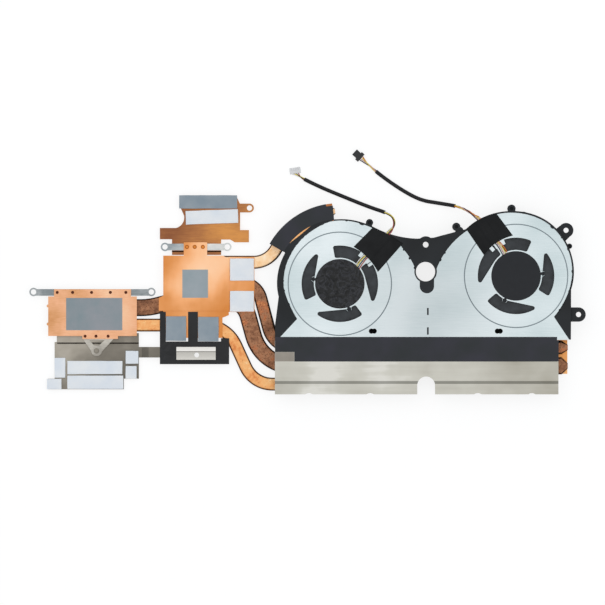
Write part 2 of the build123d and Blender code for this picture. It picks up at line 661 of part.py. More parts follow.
vrm_curve = ThreePointArc((-77.0, 39.1), (-73.3, 41.6), (-72.3, 46.5))
vrm_points = [(-74.3, 51.0), (-74.6, 57.8), (-41.6, 57.8), (-39.5, 53.4), (-33.9, 53.4), (-33.9, 48.2),
              (-39.4, 48.2), (-39.4, 37.9), (-34.2, 37.9), (-34.2, 30.7), (-42.5, 30.7), (-45.2, 32.3),
              (-50.5, 32.3), (-50.5, 23.3), (-79.3, 23.3), (-79.3, 32.5), (-86.4, 32.5), (-86.4, 39.1)]
vrm_edge = Polyline(vrm_curve @ 1, *vrm_points, vrm_curve @ 0)
vrm_face = make_face([vrm_curve, *vrm_edge.edges()]) + disc(vrm_screw, vrm_ear_radius)
vrm_face -= disc(vrm_screw, screw_hole)
for place in gpu_rivets:
    vrm_face -= disc(place, gpu_rivet_radius)
vrm_level = spring_level - vrm_thickness
save("vrm_plate", slab(vrm_face, vrm_level, spring_level))

# Springs: strips of spring steel, riveted under the plates, that the screws pull down.


def spring_strip(left, right, row, bottom, top, rivets, radius):
    """A strip with a screw ring at each end and a low collar round each hole."""
    face = rectangle(left, right, bottom, top) + disc((left, row), ring_radius) + disc((right, row), ring_radius)
    collars = disc((left, row), ring_radius) + disc((right, row), ring_radius)
    for place in rivets:
        face -= disc(place, radius)
    for x in (left, right):
        face -= disc((x, row), screw_hole)
        collars -= disc((x, row), screw_hole)
    return slab(face, spring_level, plate_level) + slab(collars, plate_level, plate_level + ring_collar)


save("cpu_spring", spring_strip(*cpu_screws, cpu_row, -0.6, 3.3, cpu_rivets, cpu_rivet_radius))
save("gpu_spring", spring_strip(*gpu_screws, gpu_row, 26.0, 29.9, gpu_rivets, gpu_rivet_radius))

v_face = outline((-131.3, -22.5), (-113.8, -22.5), (-113.8, -26.2), (-121.3, -34.3), (-125.7, -34.3),
                 (-131.3, -26.2)) + disc(v_screw, ring_radius + 0.6)
v_face -= outline((-127.6, -26.7), (-118.9, -26.7), (-122.0, -29.7), (-125.0, -29.7)) + disc(v_screw, screw_hole)
for place in cpu_low_rivets:
    v_face -= disc(place, cpu_rivet_radius)
save("cpu_v_spring", slab(v_face, spring_level, plate_level))

# Bracket: a grey sheet for the memory pads, stepped down past the plate, with an arm to the other plate.
bracket_low = bracket_level - 0.6
bracket_face = outline((-148.1, -27.7), (-98.7, -27.7), (-98.7, -49.2), (-107.5, -49.2), (-107.5, -55.4),
                       (-152.0, -55.4), (-152.0, -49.2), (-148.1, -49.2))
bracket = slab(bracket_face, bracket_low, bracket_low + bracket_sheet)
bracket += slab(rectangle(-146.8, -98.7, -27.8, -22.5), bracket_level, spring_level)
bracket += slab(rectangle(-146.8, -98.7, -28.4, -27.7), bracket_low, spring_level)
arm_base = bracket_low
arm_section = [(-99.2, arm_base), (-96.5, arm_base), (-92.5, plate_level), (-53.0, plate_level),
               (-53.0, shelf_level), (-93.0, shelf_level), (-97.0, arm_base + bracket_sheet),
               (-99.2, arm_base + bracket_sheet)]
arm = extrude(Pos(0, arm_bottom, 0) * make_face(Plane.XZ * Polyline(*arm_section, close=True)),
              amount=arm_top - arm_bottom, dir=(0, 1, 0))
bracket = bracket + arm - slab(disc(clip_screw, clip_hole), 0, module_height)
for place in cpu_low_rivets:
    bracket -= slab(disc(place, cpu_rivet_radius), 0, module_height)
save("bracket_sheet", bracket)

film = rectangle(-86.4, -45.8, -40.7, -27.4) + rectangle(-86.4, -82.9, -28, -10.0)
film += rectangle(-69.9, -64.1, -28, -10.0) + rectangle(-50.6, -45.8, -28, -25.5)
film -= disc(clip_screw, clip_hole)
save("black_film", slab(film, shelf_level, shelf_level + film_sheet))

clip_left = -76.7
clip_right = -53.7
clip_base = shelf_level + film_sheet
clip = slab(rectangle(clip_left, clip_right, -38.1, -30.6) - disc(clip_screw, clip_hole), clip_base,
            clip_base + spring_sheet)
clip += slab(rectangle(clip_left, clip_right, -33.1, -30.6), clip_base, clip_base + spring_sheet + 0.6)
save("gpu_clip_spring", clip)

# Rivets: pressed through the plates, springs and bracket.
top_rivets = [slab(disc(place, cpu_rivet_radius), spring_level, cpu_top - rivet_recess) for place in cpu_rivets]
low_rivets = [slab(disc(place, cpu_rivet_radius), bracket_level, cpu_top - rivet_recess)
              for place in cpu_low_rivets]
save("cpu_rivets", *top_rivets, *low_rivets)
save("gpu_rivets", *[slab(disc(place, gpu_rivet_radius), vrm_level, gpu_top + 0.1) for place in gpu_rivets])

# Paste and thermal pads
save("cpu_paste", slab(rectangle(-141.3, -108.4, -20.8, -1.9), cpu_top, cpu_top + paste_film))
save("gpu_paste", slab(rectangle(-73.2, -58.2, -1.8, 14.7), gpu_top, gpu_top + paste_film))


def pads(level, *places):
    """Soft pads of one thickness on one surface."""
    solids = []
    for left, right, bottom, top in places:
        pad = Box(right - left, top - bottom, pad_thickness, align=(Align.CENTER, Align.CENTER, Align.MIN))
        solids.append(Pos((left + right) / 2, (bottom + top) / 2, level) * pad)
    return solids


save("memory_pads_cpu", *pads(
    bracket_low + bracket_sheet, (-148.1, -141.8, -48.6, -37.0), (-140.6, -108.4, -46.5, -38.8),
    (-140.6, -107.8, -55.2, -47.4), (-152.6, -144.0, -55.3, -49.3), (-106.5, -99.0, -40.4, -32.9),
    (-106.5, -100.1, -49.1, -41.8)))
save("memory_pads_side", *pads(shelf_level, (-45.3, -31.3, 8.3, 21.2), (-45.3, -31.3, -9.9, 2.2)))
save("memory_pads_gpu", *pads(shelf_level, (-82.8, -71.0, -27.0, -12.7), (-64.0, -52.0, -27.3, -13.0)))
save("vrm_pad_grey", *pads(spring_level, (-75.1, -41.1, 50.5, 58.3)))
save("vrm_pad_light", Pos(-55.8, 45.8) * Rot(0, 0, 2) * Pos(55.8, -45.8) * pads(
    spring_level, (-71.3, -40.6, 41.6, 49.6))[0])
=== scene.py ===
from math import cos, pi, radians, sin

import bmesh
import bpy
from mathutils import Matrix, Vector, noise


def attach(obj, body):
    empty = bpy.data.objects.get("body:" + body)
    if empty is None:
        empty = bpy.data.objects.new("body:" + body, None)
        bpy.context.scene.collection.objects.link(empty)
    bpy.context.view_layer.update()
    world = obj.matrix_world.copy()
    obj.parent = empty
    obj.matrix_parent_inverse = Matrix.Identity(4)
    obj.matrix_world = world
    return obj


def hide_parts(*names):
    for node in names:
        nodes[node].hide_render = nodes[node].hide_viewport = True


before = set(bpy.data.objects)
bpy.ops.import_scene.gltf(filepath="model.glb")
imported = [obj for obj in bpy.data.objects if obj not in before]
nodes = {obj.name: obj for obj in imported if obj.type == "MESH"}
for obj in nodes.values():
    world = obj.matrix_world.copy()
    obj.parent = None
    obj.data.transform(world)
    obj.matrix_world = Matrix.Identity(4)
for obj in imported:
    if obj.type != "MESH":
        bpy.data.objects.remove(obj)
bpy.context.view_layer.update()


# Fan frame. Both blowers' walls, floors and ears are one moulding of black, glass-filled nylon.
# It comes out of a spark-eroded mould, so the skin is a fine, even grain with a soft sheen.
# Here and there its rim is melted over the back plate's edge, which leaves small black lumps.

def linear(colour):
    """A hex colour as the linear values that a shader takes."""
    parts = [int(colour[i:i + 2], 16) / 255 for i in (1, 3, 5)]
    return [p / 12.92 if p <= 0.04045 else ((p + 0.055) / 1.055) ** 2.4 for p in parts] + [1.0]


def add(tree, kind, settings=None, **links):
    """One shader node with its settings and links. A socket goes by its name, with underscores for spaces, or
    by i and its number. The stops of a ramp are pairs of place and hex colour."""
    node = tree.nodes.new(kind)
    for name, value in (settings or {}).items():
        if name == "stops":
            marks = node.color_ramp.elements
            for mark, (at, colour) in ((marks[0], value[0]), (marks[1], value[-1])):
                mark.position = at
                mark.color = linear(colour)
            for at, colour in value[1:-1]:
                marks.new(at).color = linear(colour)
        elif hasattr(node, name):
            setattr(node, name, value)
        else:
            node.inputs[name].default_value = value
    for name, source in links.items():
        numbered = name[0] == "i" and name[1:].isdigit()
        tree.links.new(source, node.inputs[int(name[1:]) if numbered else name.replace("_", " ")])
    return node


def new_material(name, **constants):
    """An empty material with its surface's constants: its shader tree, its surface and its place in metres."""
    material = bpy.data.materials.new(name)
    material.use_nodes = True
    tree = material.node_tree
    surface = tree.nodes["Principled BSDF"]
    for socket, value in constants.items():
        surface.inputs[socket.replace("_", " ")].default_value = value
    return material, tree, surface, add(tree, "ShaderNodeTexCoord").outputs["Object"]


def per_mm(size):
    """A pattern's scale for features this many millimetres across."""
    return 1000 / size


def dress(material, *names):
    """Gives CAD nodes one material."""
    for name in names:
        mesh = nodes[name].data
        mesh.materials.clear()
        mesh.materials.append(material)


def place_of(*values):
    """A point given in millimetres."""
    return Vector([value * 0.001 for value in values])


def piece(name, form, material, body="module"):
    """A mesh of the scene's own as a smooth piece that moves with one body."""
    bmesh.ops.recalc_face_normals(form, faces=form.faces)
    mesh = bpy.data.meshes.new(name)
    form.to_mesh(mesh)
    form.free()
    mesh.shade_smooth()
    mesh.materials.append(material)
    made = bpy.data.objects.new(name, mesh)
    bpy.context.scene.collection.objects.link(made)
    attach(made, body)
    return made


def lump(form, place, radii, turn=0.0):
    """A small rounded lump, its place and radii in millimetres, turned about its upright axis."""
    matrix = Matrix.Translation(place_of(*place)) @ Matrix.Rotation(radians(turn), 4, "Z")
    matrix = matrix @ Matrix.Diagonal((*place_of(*radii), 1.0))
    bmesh.ops.create_icosphere(form, subdivisions=2, radius=1.0, matrix=matrix)


def around(fan, angle, radius, level):
    """A point in millimetres at an angle in degrees and a distance from a fan's centre."""
    return (fan[0] + radius * cos(radians(angle)), fan[1] + radius * sin(radians(angle)), level)


# Places, levels and reaches are in millimetres, from the module's own origin. What goes to Blender as it stands,
# such as the radius of a tube, is in metres.
left_fan = (19.0, 6.4)
right_fan = (122.1, 11.0)
module_top = 12.0
# The real grain is near 0.05 mm. It is drawn coarser, so that it shows.
moulding_grain = 0.35
moulded_nylon, tree, surface, place = new_material("moulded_black_nylon", Roughness=0.5, Specular_IOR_Level=0.28)
grain = add(tree, "ShaderNodeTexNoise", {"Scale": per_mm(moulding_grain), "Detail": 2.0}, Vector=place)
cloud = add(tree, "ShaderNodeTexNoise", {"Scale": per_mm(22.0), "Detail": 2.0}, Vector=place)
bump = add(tree, "ShaderNodeBump", {"Strength": 0.25, "Distance": 0.00006}, Height=grain.outputs["Fac"])
tint = add(tree, "ShaderNodeValToRGB", {"stops": [(0.3, "#171A1D"), (0.7, "#23272B")]}, Fac=cloud.outputs["Fac"])
tree.links.new(tint.outputs["Color"], surface.inputs["Base Color"])
tree.links.new(bump.outputs["Normal"], surface.inputs["Normal"])
dress(moulded_nylon, "fan_frame")

# Each lump's angle and distance from its fan's centre, and its length along the rim
left_lumps = [(169, 33.9, 1.0), (177, 33.3, 0.7), (187, 32.9, 0.6), (202, 32.2, 0.9), (209, 32.4, 0.8),
              (84, 37.3, 0.8), (70, 37.2, 1.5), (20, 43.4, 0.7), (12, 44.8, 0.8), (28, 42.4, 0.6)]
right_lumps = [(83, 37.2, 1.6), (53.5, 35.4, 1.3), (40, 35.0, 0.6), (27, 34.3, 1.1), (4.5, 33.1, 1.0),
               (-6, 32.9, 0.8), (-16, 32.5, 1.1), (-31, 32.4, 1.0), (-38, 32.4, 0.7), (146, 41.2, 0.8),
               (162, 43.9, 0.7), (168, 45.2, 0.9)]
lump_width = 0.65
lump_height = 0.1
form = bmesh.new()
for fan, places in ((left_fan, left_lumps), (right_fan, right_lumps)):
    for angle, radius, size in places:
        lump(form, around(fan, angle, radius, module_top), (lump_width, size, lump_height), angle)
piece("staking_lumps", form, moulded_nylon)


def band(form, edges, top, bottom):
    """A curved strip round the left fan, as (angle, inner radius, outer radius) with its two levels."""
    rings = [[form.verts.new(place_of(*around(left_fan, angle, radius, level)))
              for radius, level in ((inner, bottom), (inner, top), (outer, top), (outer, bottom))]
             for angle, inner, outer in edges]
    for near, far in zip(rings, rings[1:]):
        for n in range(4):
            form.faces.new((near[n], near[(n + 1) % 4], far[(n + 1) % 4], far[n]))
    form.faces.new(rings[0][::-1])
    form.faces.new(rings[-1])


# The rim over the left blower's second outlet: its inner and outer edge as pairs of angle and distance
lip_inner = [(93, 37.7), (98, 36.9), (108, 35.8), (119, 34.9), (137, 33.9), (150, 33.4), (167, 33.1), (180, 32.9),
             (200, 32.7), (208, 33.0)]
lip_outer = [(93, 37.8), (150, 37.8), (151, 36.0), (164, 35.3), (172, 34.3), (208, 34.3)]
lip_angles = range(93, 208)
lip_wobble = 0.22
wobble_angle = 2.5
lip_above_plate = 0.13
lip_below_plate = 0.1


def between(stops, at):
    """The value at a place between stops, each a pair of place and value."""
    for (near, low), (far, high) in zip(stops, stops[1:]):
        if at <= far:
            return low + (high - low) * (at - near) / (far - near)
    return stops[-1][1]


edges = []
for angle in lip_angles:
    wobble = lip_wobble * noise.noise(Vector((angle / wobble_angle, 0.0, 0.0)))
    edges.append((angle, between(lip_inner, angle) + wobble, between(lip_outer, angle)))
form = bmesh.new()
band(form, edges, module_top + lip_above_plate, module_top - lip_below_plate)
lip = piece("rim_over_side_outlet", form, moulded_nylon)
lip.data.shade_flat()


# Back plate. One pressed sheet of zinc-coated steel closes both blowers and carries both motors.
# The coat is dull silver with faint rolling lines along the sheet, and painted shade darkens it between the fans.
# The pressed grooves round the slots are painted a darker grey, as painted shade.

line_share = 0.35
zinc_coat, tree, surface, place = new_material("zinc_coated_steel", Metallic=1.0)
rolled = add(tree, "ShaderNodeMapping", {"Scale": (1.0, 30.0, 1.0)}, Vector=place)
lines = add(tree, "ShaderNodeTexNoise", {"Scale": per_mm(9.0), "Detail": 3.0}, Vector=rolled.outputs["Vector"])
cloud = add(tree, "ShaderNodeTexNoise", {"Scale": per_mm(35.0), "Detail": 1.5}, Vector=place)
mixed = add(tree, "ShaderNodeMath", {"operation": "MULTIPLY_ADD"}, i0=lines.outputs["Fac"],
            i2=cloud.outputs["Fac"])
mixed.inputs[1].default_value = line_share
unshaded_coat = add(tree, "ShaderNodeValToRGB",
            {"stops": [(0.45, "#C3D1D3"), (0.9, "#E2EAEC")]}, Fac=mixed.outputs["Value"]).outputs["Color"]
# Painted shade: a thin ring at each fan's groove is mixed towards grey
groove_radius = 30.2
groove_half = 0.32
flat = add(tree, "ShaderNodeMapping", {"Scale": (1.0, 1.0, 0.0)}, Vector=place)
groove_shaded = unshaded_coat
for fan in (left_fan, right_fan):
    reach = add(tree, "ShaderNodeVectorMath", {"operation": "DISTANCE"}, i0=flat.outputs["Vector"])
    reach.inputs[1].default_value = place_of(*fan, 0.0)
    ring = add(tree, "ShaderNodeMath", {"operation": "COMPARE"}, i0=reach.outputs["Value"])
    ring.inputs[1].default_value = groove_radius * 0.001
    ring.inputs[2].default_value = groove_half * 0.001
    blend = add(tree, "ShaderNodeMix", {"data_type": "RGBA"}, i0=ring.outputs["Value"], i6=groove_shaded)
    blend.inputs[7].default_value = linear("#808B90")
    groove_shaded = blend.outputs[2]
# Painted shade: the coat is darker near a point between the fans and a little lighter far from it
between_fans = (70.0, -6.0, module_top)
away = add(tree, "ShaderNodeVectorMath", {"operation": "DISTANCE"}, i0=place)
away.inputs[1].default_value = place_of(*between_fans)
shade = add(tree, "ShaderNodeMapRange", {"From Min": 0.01, "From Max": 0.06, "To Min": 0.86, "To Max": 1.04},
            Value=away.outputs["Value"])
shaded = add(tree, "ShaderNodeMix", {"data_type": "RGBA", "blend_type": "MULTIPLY", "Factor": 1.0}, i6=groove_shaded,
             i7=shade.outputs["Result"])
tree.links.new(shaded.outputs[2], surface.inputs["Base Color"])
rough = add(tree, "ShaderNodeMapRange", {"To Min": 0.34, "To Max": 0.46}, Value=lines.outputs["Fac"])
tree.links.new(rough.outputs["Result"], surface.inputs["Roughness"])
bump = add(tree, "ShaderNodeBump", {"Strength": 0.12, "Distance": 0.00003}, Height=lines.outputs["Fac"])
tree.links.new(bump.outputs["Normal"], surface.inputs["Normal"])
dress(zinc_coat, "fan_back_plate")


# Motors. Brass sleeves pressed into the plate carry the stators, which the rotor cups run round.
# The cores are stacked laminations, wound with enamelled wire over a green board.

def plain(name, colour, **constants):
    """A finish of one colour whose tone wanders by a few per cent, with a faint orange-peel skin."""
    material, tree, surface, place = new_material(name, **constants)
    patch = 4.0
    cloud = add(tree, "ShaderNodeTexNoise", {"Scale": per_mm(patch), "Detail": 3.0}, Vector=place)
    tone = add(tree, "ShaderNodeMapRange", {"To Min": 0.86, "To Max": 1.12}, Value=cloud.outputs["Fac"])
    tint = add(tree, "ShaderNodeMix", {"data_type": "RGBA", "blend_type": "MULTIPLY", "Factor": 1.0},
               i7=tone.outputs["Result"])
    tint.inputs[6].default_value = linear(colour)
    tree.links.new(tint.outputs[2], surface.inputs["Base Color"])
    bump = add(tree, "ShaderNodeBump", {"Strength": 0.15, "Distance": 0.00005}, Height=cloud.outputs["Fac"])
    tree.links.new(bump.outputs["Normal"], surface.inputs["Normal"])
    return material


sides = ("left", "right")
dress(plain("turned_brass", "#C9A653", Metallic=1.0, Roughness=0.28), *[f"bearing_sleeve_{s}" for s in sides])
dress(plain("thrust_disc_plastic", "#D8D2C0", Roughness=0.4), *[f"thrust_pad_{s}" for s in sides])
dress(plain("green_solder_mask", "#1E5A38", Roughness=0.35, Coat_Weight=0.3),
      *[f"motor_board_{s}" for s in sides])


def waves_per_mm(size):
    """A wave pattern's scale for bands this many millimetres apart. At scale 1 it has 20 / (2 pi) in a metre."""
    return per_mm(size) * 2 * pi / 20


lamination = 0.35
core_steel, tree, surface, place = new_material("stacked_silicon_steel", Metallic=1.0, Roughness=0.45)
sheets = add(tree, "ShaderNodeTexWave", {"bands_direction": "Z", "Scale": waves_per_mm(lamination)}, Vector=place)
bump = add(tree, "ShaderNodeBump", {"Strength": 0.5, "Distance": 0.00005}, Height=sheets.outputs["Fac"])
tint = add(tree, "ShaderNodeValToRGB", {"stops": [(0.1, "#5F6063"), (0.9, "#9B9C9E")]}, Fac=sheets.outputs["Fac"])
tree.links.new(tint.outputs["Color"], surface.inputs["Base Color"])
tree.links.new(bump.outputs["Normal"], surface.inputs["Normal"])
dress(core_steel, *[f"stator_core_{s}" for s in sides])

winding_pitch = 0.22
winding, tree, surface, place = new_material("enamelled_copper_winding", Metallic=0.8, Roughness=0.25,
                                             Coat_Weight=0.6)
turns = add(tree, "ShaderNodeTexWave", {"wave_type": "RINGS", "rings_direction": "Z", "Distortion": 0.6,
                                        "Scale": waves_per_mm(winding_pitch)}, Vector=place)
bump = add(tree, "ShaderNodeBump", {"Strength": 0.7, "Distance": 0.0001}, Height=turns.outputs["Fac"])
tint = add(tree, "ShaderNodeValToRGB", {"stops": [(0.1, "#7A3A1A"), (0.9, "#C9743C")]}, Fac=turns.outputs["Fac"])
tree.links.new(tint.outputs["Color"], surface.inputs["Base Color"])
tree.links.new(bump.outputs["Normal"], surface.inputs["Normal"])
dress(winding, *[f"stator_coils_{s}" for s in sides])


# Rotors. Each impeller is moulded in one piece from a stiff black plastic, thin blades round a cup.
# The blades are so thin that the plastic has to flow fast, which leaves a smooth satin skin.
# The cup holds a zinc-plated steel yoke, a matt ferrite ring and a ground shaft.

blade_plastic, tree, surface, place = new_material("moulded_impeller_plastic", Roughness=0.42,
                                                   Specular_IOR_Level=0.3)
flow = add(tree, "ShaderNodeTexNoise", {"Scale": per_mm(6.0), "Detail": 3.0}, Vector=place)
tint = add(tree, "ShaderNodeValToRGB", {"stops": [(0.3, "#2A2D30"), (0.7, "#3E4246")]}, Fac=flow.outputs["Fac"])
tree.links.new(tint.outputs["Color"], surface.inputs["Base Color"])
dress(blade_plastic, "impeller_left", "impeller_right")
dress(plain("plated_yoke_steel", "#B4B7B8", Metallic=1.0, Roughness=0.35), *[f"rotor_yoke_{s}" for s in sides])
dress(plain("bonded_ferrite", "#3B3634", Roughness=0.7), *[f"rotor_magnet_{s}" for s in sides])
dress(plain("ground_shaft_steel", "#C6C8CA", Metallic=1.0, Roughness=0.12), *[f"rotor_shaft_{s}" for s in sides])


# Motor labels. The right hub wears a matt dark disc, and the left one a loose glossy film that is crumpled,
# with lighter grey streaks painted on it as sheen. Each label has two small tongues past the hub, where short
# tabs of the plate hook over it.

def tube(form, points, radius, sides=8):
    """A round tube along points in metres, closed at both ends."""
    points = [Vector(p) for p in points]
    side = None
    rings = []
    for k, here in enumerate(points):
        heading = (points[min(k + 1, len(points) - 1)] - points[max(k - 1, 0)]).normalized()
        side = heading.orthogonal() if side is None else side - heading * side.dot(heading)
        side.normalize()
        up = heading.cross(side)
        rings.append([form.verts.new(here + radius * (side * cos(a) + up * sin(a)))
                      for a in (2 * pi * n / sides for n in range(sides))])
    for near, far in zip(rings, rings[1:]):
        for n in range(sides):
            form.faces.new((near[n], near[(n + 1) % sides], far[(n + 1) % sides], far[n]))
    form.faces.new(rings[0][::-1])
    form.faces.new(rings[-1])


label_radius = 14.5
label_film, tree, surface, place = new_material("crumpled_polyester_film", Roughness=0.24,
                                                Specular_IOR_Level=0.34)
# Painted highlights: thin lighter grey streaks on the dark film stand in for sheen on its folds
painted_sheen = add(tree, "ShaderNodeTexNoise",
             {"Scale": per_mm(7.0), "Detail": 5.0, "Roughness": 0.6, "Distortion": 1.4}, Vector=place)
tint = add(tree, "ShaderNodeValToRGB",
           {"stops": [(0.38, "#060709"), (0.46, "#0E0F12"), (0.51, "#2D2F35"), (0.56, "#111216"),
                      (0.66, "#07080A")]}, Fac=painted_sheen.outputs["Fac"])
tree.links.new(tint.outputs["Color"], surface.inputs["Base Color"])
label_matt = plain("matt_polyester_label", "#26282C", Roughness=0.6, Specular_IOR_Level=0.25)
dress(label_matt, "motor_label_right")

# The film's folds: how far apart, how steep and how high, with finer ripples between them
crease = 4.2
crease_slope = 1.4
crumple = 0.6
ripple_width = 2.2
ripple_share = 0.35
film_edge = 1.5
film_gap = 0.05
rings = 32
spokes = 90
form = bmesh.new()
rows = []
for ring in range(rings + 1):
    reach = label_radius * ring / rings
    row = []
    for spoke in range(spokes):
        x, y, z = around(left_fan, 360 * spoke / spokes, reach, module_top)
        near, far = noise.voronoi(Vector((x, y, 0)) / crease)[0][:2]
        ripple = ripple_share * noise.noise(Vector((x, y, 3.0)) / ripple_width)
        fold = min(1.0, (far - near) * crease_slope) + ripple
        edge = min(1.0, (label_radius - reach) / film_edge)
        row.append(form.verts.new(place_of(x, y, z + film_gap + edge * max(0.0, crumple * fold))))
    rows.append(row)
for inner, outer in zip(rows[1:], rows[2:]):
    for k in range(spokes):
        form.faces.new((inner[k], outer[k], outer[(k + 1) % spokes], inner[(k + 1) % spokes]))
form.faces.new(rows[1])
rim = [form.verts.new(v.co - place_of(0, 0, film_gap)) for v in rows[-1]]
for k in range(spokes):
    form.faces.new((rows[-1][k], rim[k], rim[(k + 1) % spokes], rows[-1][(k + 1) % spokes]))
form.faces.new(rim[::-1])
for vert in rows[0]:
    form.verts.remove(vert)
film = piece("crumpled_label", form, label_film)
film.data.shade_flat()
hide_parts("motor_label_left")

tongue_reach = 15.2
tongue_size = (1.3, 0.9, 0.14)
tongue_level = module_top + 0.02
hook_angle = 4.5
hook_radius = 0.00016
hook_bend = ((1.7, 15.2), (1.25, 15.6), (1.0, 16.2), (0.75, 16.9))
form = bmesh.new()
hooks = bmesh.new()
for fan, angles in ((left_fan, (170, 290)), (right_fan, (5, 245))):
    for angle in angles:
        lump(form, around(fan, angle, tongue_reach, tongue_level), tongue_size, angle)
        for turn in (-hook_angle, hook_angle):
            hook = [around(fan, angle + turn * lean, radius, tongue_level) for lean, radius in hook_bend]
            tube(hooks, [place_of(*p) for p in hook], hook_radius, 6)
piece("label_tongues", form, label_matt)
piece("plate_hooks", hooks, zinc_coat)


# Motor wires. Four coated wires leave each motor, cross the slot between the plate's keeper teeth and
# run under a black acetate tape. The wires' coats are shiny, and the tape is a matt, slightly fuzzy cloth.

def smooth(value):
    """A share from 0 to 1 that starts and ends gently."""
    value = max(0.0, min(1.0, value))
    return value * value * (3 - 2 * value)


coats = {colour: plain(f"{colour}_wire_coat", shade, Roughness=0.35) for colour, shade in (
    ("white", "#E8E6E0"), ("yellow", "#E9D24A"), ("black", "#1B1B1C"), ("red", "#B23A26"), ("orange", "#D9772E"),
    ("pink", "#D9A59A"))}
wire_radius = 0.0003
wire_level = module_top + 0.31
wire_steps = 16
row_narrows = 0.35
row_bows = 0.6

# Where each motor's wires start and end, and the side to which they bow
wire_colours = {"left": ("red", "black", "yellow", "white"), "right": ("orange", "yellow", "pink", "black")}
motor_wires = {"left": ((29.3, 16.3), (48.0, 36.9), 1.0), "right": ((115.6, 23.9), (100.0, 44.6), -1.0)}
for side, (start, end, bow) in motor_wires.items():
    run = place_of(end[0] - start[0], end[1] - start[1], 0.0)
    across = Vector((-run.y, run.x, 0)).normalized()
    for k, colour in enumerate(wire_colours[side]):
        form = bmesh.new()
        points = []
        for step in range(wire_steps + 1):
            share = step / wire_steps
            offset = (k - 1.5) * (1.0 - row_narrows * smooth(share * 2))
            offset += bow * row_bows * sin(pi * min(1.0, share * 2.5))
            points.append(place_of(*start, wire_level) + run * share + across * offset * 0.001)
        tube(form, points, wire_radius)
        wire = piece(f"motor_wire_{side}_{colour}", form, coats[colour])
        if k == 0:
            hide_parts(f"motor_wires_{side}")

tooth_size = (0.0021, 0.0036, 0.0004)
tooth_reach = 21.4
tooth_level = module_top - 0.22
form = bmesh.new()
for fan, middle, spread in ((left_fan, 45.0, (-12.0, -7.5, 9.0)), (right_fan, 125.5, (6.1, -2.5, -14.1))):
    for turn in spread:
        spot = place_of(*around(fan, middle + turn, tooth_reach, tooth_level))
        matrix = Matrix.Translation(spot) @ Matrix.Rotation(radians(middle + turn) + pi / 2, 4, "Z")
        matrix = matrix @ Matrix.Diagonal((*tooth_size, 1.0))
        bmesh.ops.create_cube(form, size=1.0, matrix=matrix)
teeth = piece("wire_keeper_teeth", form, zinc_coat)
teeth.data.shade_flat()

# The cloth's threads are near 0.15 mm apart. Their fuzz is drawn coarser, so that it shows.
cloth_fuzz = 0.5
acetate_tape, tree, surface, place = new_material("black_acetate_tape", Roughness=0.75, Specular_IOR_Level=0.2)
weave = add(tree, "ShaderNodeTexNoise", {"Scale": per_mm(cloth_fuzz), "Detail": 3.0}, Vector=place)
cloud = add(tree, "ShaderNodeTexNoise", {"Scale": per_mm(9.0), "Detail": 2.0}, Vector=place)
bump = add(tree, "ShaderNodeBump", {"Strength": 0.35, "Distance": 0.00008}, Height=weave.outputs["Fac"])
tint = add(tree, "ShaderNodeValToRGB", {"stops": [(0.35, "#18191A"), (0.7, "#212223")]}, Fac=cloud.outputs["Fac"])
tree.links.new(tint.outputs["Color"], surface.inputs["Base Color"])
tree.links.new(bump.outputs["Normal"], surface.inputs["Normal"])

# The tape stands up over the wires, shows them as faint ridges, and its two ends are bowed
hump = 0.62
hump_reach = 3.4
hump_slope = 0.9
ridge_height = 0.05
ridge_pitch = 0.8
ridge_reach = 1.4
ripple_height = 0.04
ripple_width = 3.5
edge_rise = 8
bowed_end = 0.3
tape_level = module_top + 0.06
tape_thickness = 0.00012
tape_grid = (28, 22)

# Each tape's corners, then how far its near edge is hollow, and its far edge lies over the rim and bulges
tapes = {"left": ((27.0, 28.0), (41.3, 13.3), (37.8, 38.9), (55.6, 29.6), 1.5, 0.5, 0.8),
         "right": ((103.3, 23.2), (120.3, 34.6), (93.2, 38.0), (111.1, 46.9), 1.9, 0.5, 1.7)}
for side, (near_left, near_right, far_left, far_right, hollow, over, bulge) in tapes.items():
    start, end, _ = motor_wires[side]
    run = Vector((end[0] - start[0], end[1] - start[1], 0)).normalized()
    corners = [Vector((*c, 0)) for c in (near_left, near_right, far_left, far_right)]
    form = bmesh.new()
    rows = []
    for j in range(tape_grid[1] + 1):
        down = j / tape_grid[1]
        row = []
        for i in range(tape_grid[0] + 1):
            across = i / tape_grid[0]
            spot = corners[0].lerp(corners[1], across).lerp(corners[2].lerp(corners[3], across), down)
            arch = 4 * across * (1 - across)
            spot += run * (over + bulge * arch) * max(0.0, down - (1 - bowed_end)) / bowed_end
            spot += run * hollow * arch * max(0.0, bowed_end - down) / bowed_end
            aside = run.cross(spot - Vector((*start, 0))).z
            lift = hump * smooth((hump_reach - abs(aside)) / hump_slope)
            ridges = ridge_height * cos(2 * pi * aside / ridge_pitch) * (abs(aside) < ridge_reach)
            fade = min(1.0, edge_rise * across, edge_rise * (1 - across))
            ripple = ripple_height * abs(noise.noise(spot / ripple_width)) * fade
            row.append(form.verts.new(place_of(spot.x, spot.y, tape_level + lift + ridges + ripple)))
        rows.append(row)
    for near, far in zip(rows, rows[1:]):
        for i in range(tape_grid[0]):
            form.faces.new((near[i], near[i + 1], far[i + 1], far[i]))
    strip = piece(f"tape_over_wires_{side}", form, acetate_tape)
    thick = strip.modifiers.new("thickness", "SOLIDIFY")
    thick.thickness = tape_thickness
    thick.offset = 0.0
    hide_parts(f"wire_tape_{side}")


# Leads. Past the tape, the same four wires hang together in a smooth black sleeve down to the table.
# They come bare out of both of its ends: side by side at the tape, and spread to the plug's contacts.

